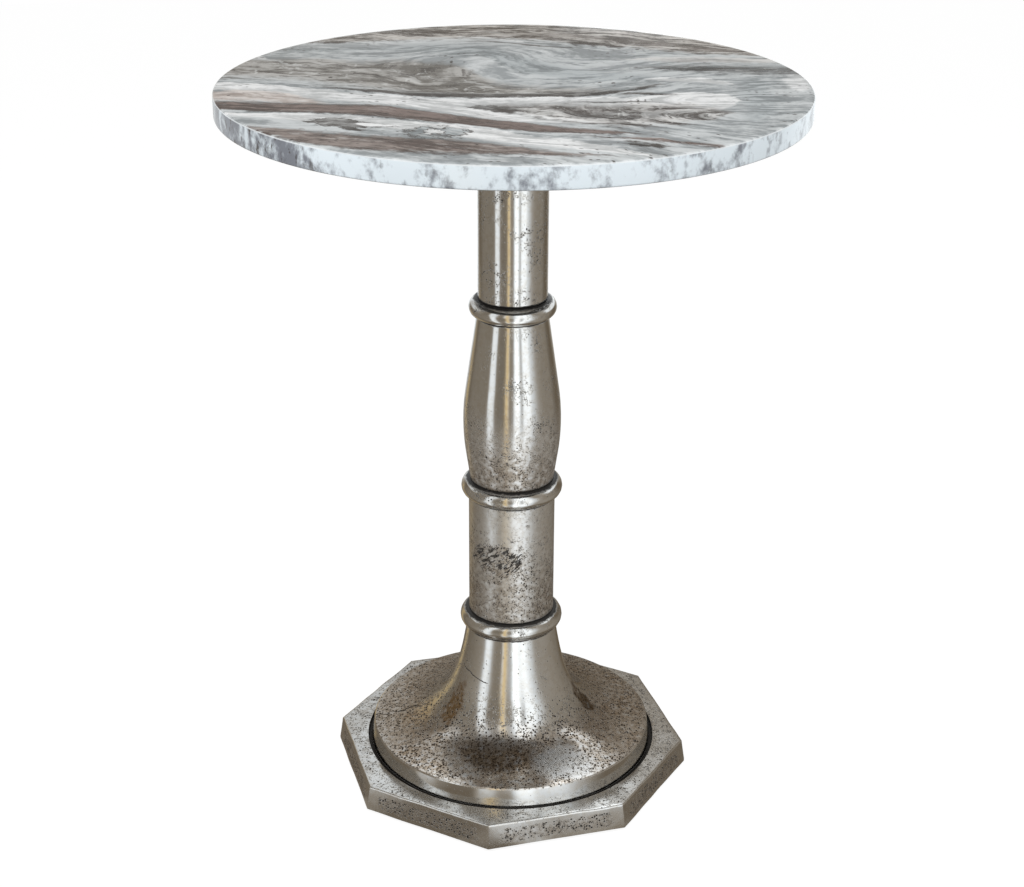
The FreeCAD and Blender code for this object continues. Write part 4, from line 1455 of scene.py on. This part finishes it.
@dataclass
class Fixings:
    """The hidden plate, rod, screws, inserts, cushions and glides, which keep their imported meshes."""

    plate: str = "top_plate"
    steels: tuple[str, ...] = ("top_screws", "top_screw_washers", "tie_rod", "rod_top_nut", "rod_top_washer",
                               "rod_bottom_nut", "rod_bottom_washer")

    def build(self) -> list[bpy.types.Object]:
        """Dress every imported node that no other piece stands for.

        Returns:
            The dressed nodes.
        """
        steel = PlainMetal("zinc_steel", (196, 197, 199), (150, 152, 158), 0.34).make()
        brass = PlainMetal("turned_brass", (205, 170, 98), (150, 112, 60), 0.3).make()
        rubber = Moulded("matt_rubber", (30, 30, 31), (52, 51, 50), 0.8, 900.0).make()
        nylon = Moulded("moulded_nylon", (40, 40, 42), (58, 58, 60), 0.55, 1300.0).make()
        low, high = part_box(self.plate)
        plate = CastNickel(Wear.LIGHT, low.z - MM, high.z + MM, 0.42).make("nickel_plate")
        dressed = {
            self.plate: plate,
            "stone_inserts": brass,
            "stone_cushions": rubber,
            "glide_inserts": brass,
        }
        dressed.update({node: steel for node in self.steels})
        dressed.update({f"glide_stud_{glide}": steel for glide in GLIDES})
        dressed.update({f"glide_pad_{glide}": nylon for glide in GLIDES})
        for node, finish in dressed.items():
            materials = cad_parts[node].data.materials
            materials.clear()
            materials.append(finish)
        return [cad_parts[node] for node in dressed]


@dataclass(frozen=True)
class Tent:
    """Round light tent that only reflections see: an upright wall and the cloth at its foot.

    Its brightness is a curve round the table, one at its foot and on the cloth, one on the wall at the
    height of the upper column's reflections and one just under the slab. Angles are degrees to the right
    of the camera.
    """

    radius: float = 0.46
    height: float = 1.3
    lift: float = 0.5 * MM
    sides: int = 96
    scale: float = 3.0
    dusk: Tint = (206, 170, 118)
    shade: Tint = (217, 204, 185)
    bright: Tint = (249, 253, 255)
    pale: Tint = (246, 245, 241)
    gold: Tint = (240, 214, 164)
    gold_angle: float = -13.0
    gold_width: float = 10.0
    amber_angle: float = -135.0
    amber_width: float = 14.0
    crown: float = 0.25
    wall_heights: Point = (0.06, 0.26)
    upper_heights: Point = (0.45, 0.53)
    back_heights: tuple[Point, Point] = ((0.24, 0.36), (0.55, 0.45))
    cloth_radii: Point = (0.17, 0.36)
    cloth_level: float = 0.34
    foot: tuple[Point, ...] = (
        (-180, .34), (-160, .34), (-142, .3), (-126, .3), (-110, .34), (-85, .44), (-68, .56), (-61, .85),
        (-54, 1.35), (-48, 1.15), (-40, .62), (-34, .48), (-24, .46), (-15, 1.2), (-9, .95), (-4, .75),
        (3, 1.4), (10, 2.15), (19, 1.6), (27, 1.7), (34, 1.5), (42, 1.1), (50, .8), (60, .58), (80, .55),
        (100, .5), (118, .42), (140, .32), (152, .26), (166, .28), (180, .34),
    )
    wall: tuple[Point, ...] = (
        (-180, .72), (-160, .85), (-144, .45), (-128, .28), (-112, .38), (-92, .42), (-66, .42), (-59, .55),
        (-52, 1.3), (-46, 1.25), (-38, .45), (-27, .38), (-19, .42), (-12, 1.15), (-5, .5), (3, .75),
        (11, 1.8), (17, 1.5), (22, .8), (28, 1.6), (36, 1.6), (46, 1.1), (55, .8), (68, .55), (82, .48),
        (95, .47), (105, .45), (116, .32), (134, .26), (150, .42), (164, .6), (180, .72),
    )
    upper: tuple[Point, ...] = (
        (-180, .7), (-175, .85), (-168, 1.3), (-160, 1.5), (-148, .8), (-108, .9), (-88, .5), (-66, .36),
        (-54, 1.2), (-42, .9), (-28, .4), (-13, 1.2), (-4, .7), (6, 1.2), (16, 1.7), (34, 1.6), (48, .9),
        (62, .5), (85, .6), (105, 1.3), (125, 1.2), (150, 1.2), (156, 1.5), (165, 2.9), (172, 2.2),
        (177, .9), (180, .7),
    )

    def level(self, graph: Graph, turn: Field, points: Sequence[Point]) -> Field:
        """Look up the brightness at a share of a full turn, 0.5 towards the camera."""
        shares = [(angle / 360 + 0.5, bright / self.scale) for angle, bright in points]
        return graph.curve(turn, shares) * self.scale

    def finish(self, facing: float) -> bpy.types.Material:
        """Build the glow of the tent.

        Args:
            facing: Direction of the camera from the table, in radians.

        Returns:
            The material.
        """
        graph = Finish("tent_glow")
        x, y, z = graph.parts(graph.turned(-facing))
        turn = graph.math("ARCTAN2", y, x) / math.tau + 0.5
        foot = self.level(graph, turn, self.foot)
        level = foot + (self.level(graph, turn, self.wall) - foot) * graph.ramp(z, *self.wall_heights)
        level = level + (self.level(graph, turn, self.upper) - level) * graph.ramp(z, *self.upper_heights)
        spread = graph.length(x, y)
        far = graph.ramp(spread, *self.cloth_radii)
        level = level * (far * (1.0 - self.cloth_level) + self.cloth_level)
        level = graph.math("MAXIMUM", level, graph.ramp(spread, 0.34, 0.24) * 0.3)
        aside = abs(turn - 0.5)
        behind = graph.ramp(aside, 0.36, 0.44) * graph.between(z, self.back_heights)
        level = level + behind * 0.2
        crown = graph.ramp(z, 0.67, 0.72) * graph.ramp(aside, 0.2, 0.3)
        level = level + (self.crown - level) * crown
        gold = graph.ramp(abs(turn - self.gold_angle / 360 - 0.5), self.gold_width / 360, 0.0)
        amber = graph.ramp(abs(turn - self.amber_angle / 360 - 0.5), self.amber_width / 360, 0.0)
        amber = amber * graph.ramp(z, 0.4, 0.25)
        level = level + amber * 0.35
        tint = graph.mix(graph.ramp(level, 0.08, 0.4), self.dusk, self.shade)
        tint = graph.mix(graph.ramp(level, 0.4, 1.0), tint, self.bright)
        tint = graph.mix(gold * graph.ramp(spread, 0.25, 0.42), tint, self.gold)
        tint = graph.mix(amber, tint, self.gold)
        tint = graph.mix(crown * graph.ramp(z, 0.69, 0.74), tint, self.pale)
        glow = graph.put("ShaderNodeEmission", {"Color": tint, "Strength": level})
        graph.add("ShaderNodeOutputMaterial", {"Surface": glow})
        return graph.material

    def build(self, facing: float) -> bpy.types.Object:
        """Set up the tent round the table.

        Args:
            facing: Direction of the camera from the table, in radians.

        Returns:
            The tent.
        """
        points = [(0.0, 0.0, self.lift)]
        for height in (self.lift, self.height):
            for index in range(self.sides):
                angle = math.tau * index / self.sides
                points.append((self.radius * math.cos(angle), self.radius * math.sin(angle), height))
        faces = []
        for index in range(self.sides):
            here, beside = 1 + index, 1 + (index + 1) % self.sides
            faces += [(0, here, beside), (here, here + self.sides, beside + self.sides, beside)]
        mesh = bpy.data.meshes.new("light_tent")
        mesh.from_pydata(points, [], faces)
        mesh.materials.append(self.finish(facing))
        tent = show("light_tent", mesh)
        tent.visible_camera = False
        tent.visible_diffuse = False
        tent.visible_shadow = False
        tent.visible_transmission = False
        return tent


@dataclass
class Studio:
    """Pale floor, white surroundings, soft lamps, light tent and camera."""

    distance: float = 1.6458
    height: float = 1.0467
    tilt: float = math.radians(66.47)
    roll: float = math.radians(0.2945)
    lens: float = 68.795
    sensor: float = 36.0
    ambient: float = 0.55
    floor_size: float = 8.0
    glow: float = 0.9
    bounce: Colour = (0.8, 0.8, 0.8, 1.0)
    shade: Colour = (0.16, 0.16, 0.16, 1.0)

    def seen(self, graph: Graph) -> Field:
        """Give 1 for rays that show the surroundings, in view or in a reflection, and 0 for light.

        Args:
            graph: The graph to write in.

        Returns:
            The share.
        """
        path = graph.add("ShaderNodeLightPath", {})
        rays = [graph.field(path, name) for name in ("Is Camera Ray", "Is Glossy Ray", "Is Transmission Ray")]
        return graph.math("MAXIMUM", graph.math("MAXIMUM", rays[0], rays[1]), rays[2])

    def world(self) -> None:
        """Surround the table with white, which lights it at a plain level."""
        world = bpy.data.worlds.new("white_surroundings")
        bpy.context.scene.world = world
        world.use_nodes = True
        graph = Graph(world.node_tree)
        lit = graph.put("ShaderNodeBackground", {"Color": WHITE, "Strength": self.ambient})
        shown = graph.put("ShaderNodeBackground", {"Color": WHITE, "Strength": 1.0})
        both = graph.put("ShaderNodeMixShader", {0: self.seen(graph), 1: lit, 2: shown})
        graph.add("ShaderNodeOutputWorld", {"Surface": both})

    def floor(self) -> bpy.types.Object:
        """Lay the pale floor, which keeps the table's soft shadow.

        Returns:
            The floor.
        """
        half = self.floor_size / 2
        mesh = bpy.data.meshes.new("floor")
        corners = [(-half, -half, 0), (half, -half, 0), (half, half, 0), (-half, half, 0)]
        mesh.from_pydata(corners, [], [range(len(corners))])
        floor = show("floor", mesh)
        graph = Finish("pale_floor")
        bounce = graph.put("ShaderNodeBsdfDiffuse", {"Color": self.bounce})
        glow = graph.put("ShaderNodeEmission", {"Color": WHITE, "Strength": self.glow})
        shade = graph.put("ShaderNodeBsdfDiffuse", {"Color": self.shade})
        shown = graph.put("ShaderNodeAddShader", {0: glow, 1: shade})
        both = graph.put("ShaderNodeMixShader", {0: self.seen(graph), 1: bounce, 2: shown})
        graph.add("ShaderNodeOutputMaterial", {"Surface": both})
        mesh.materials.append(graph.material)
        return floor

    def lamp(self, name: str, place: Point, height: float, size: float, power: float) -> None:
        """Hang a soft lamp that faces the table.

        Args:
            name: Name of the lamp.
            place: Its place over the floor.
            height: Its height.
            size: Side of its square face.
            power: Its power in watts.
        """
        light = bpy.data.lights.new(name, "AREA")
        light.size = size
        light.energy = power
        lamp = show(name, light)
        lamp.location = (*place, height)
        aim = Vector((0.0, 0.0, CAD_BOX[1].z / 2)) - lamp.location
        lamp.rotation_euler = aim.to_track_quat("-Z", "Y").to_euler()

    def camera(self) -> None:
        """Set the camera at the photograph's angle."""
        lens = bpy.data.cameras.new("camera")
        lens.sensor_fit = "HORIZONTAL"
        lens.sensor_width = self.sensor
        lens.lens = self.lens
        camera = show("camera", lens)
        place = (-self.distance * math.sin(VIEW_TURN), -self.distance * math.cos(VIEW_TURN), self.height)
        turn = Matrix.Rotation(-VIEW_TURN, 4, "Z") @ Matrix.Rotation(self.tilt, 4, "X")
        camera.matrix_world = Matrix.Translation(place) @ turn @ Matrix.Rotation(self.roll, 4, "Z")
        bpy.context.scene.camera = camera

    def build(self) -> None:
        """Set up the whole studio."""
        bpy.context.scene.view_settings.view_transform = "Standard"
        self.camera()
        self.world()
        self.floor()
        self.lamp("key_lamp", (-0.9, -1.0), height=2.0, size=1.4, power=22.0)
        self.lamp("fill_lamp", (1.2, -0.5), height=1.8, size=1.4, power=12.0)
        Tent().build(-QUARTER - VIEW_TURN)


def report(pieces: Iterable[bpy.types.Object]) -> None:
    """Log each finished piece with its number of faces."""
    for piece in pieces:
        log.info("%s: %d faces", piece.name, len(piece.data.polygons))


def main() -> None:
    """Build the table from the top down, then the studio round it."""
    logging.basicConfig(level=logging.INFO, format="%(name)s %(message)s")
    lathe = Lathe()
    for assembly in (Tabletop(lathe), Pedestal(lathe), Plinth(), Fixings()):
        report(assembly.build())
    Studio().build()


if __name__ == "__main__":
    main()
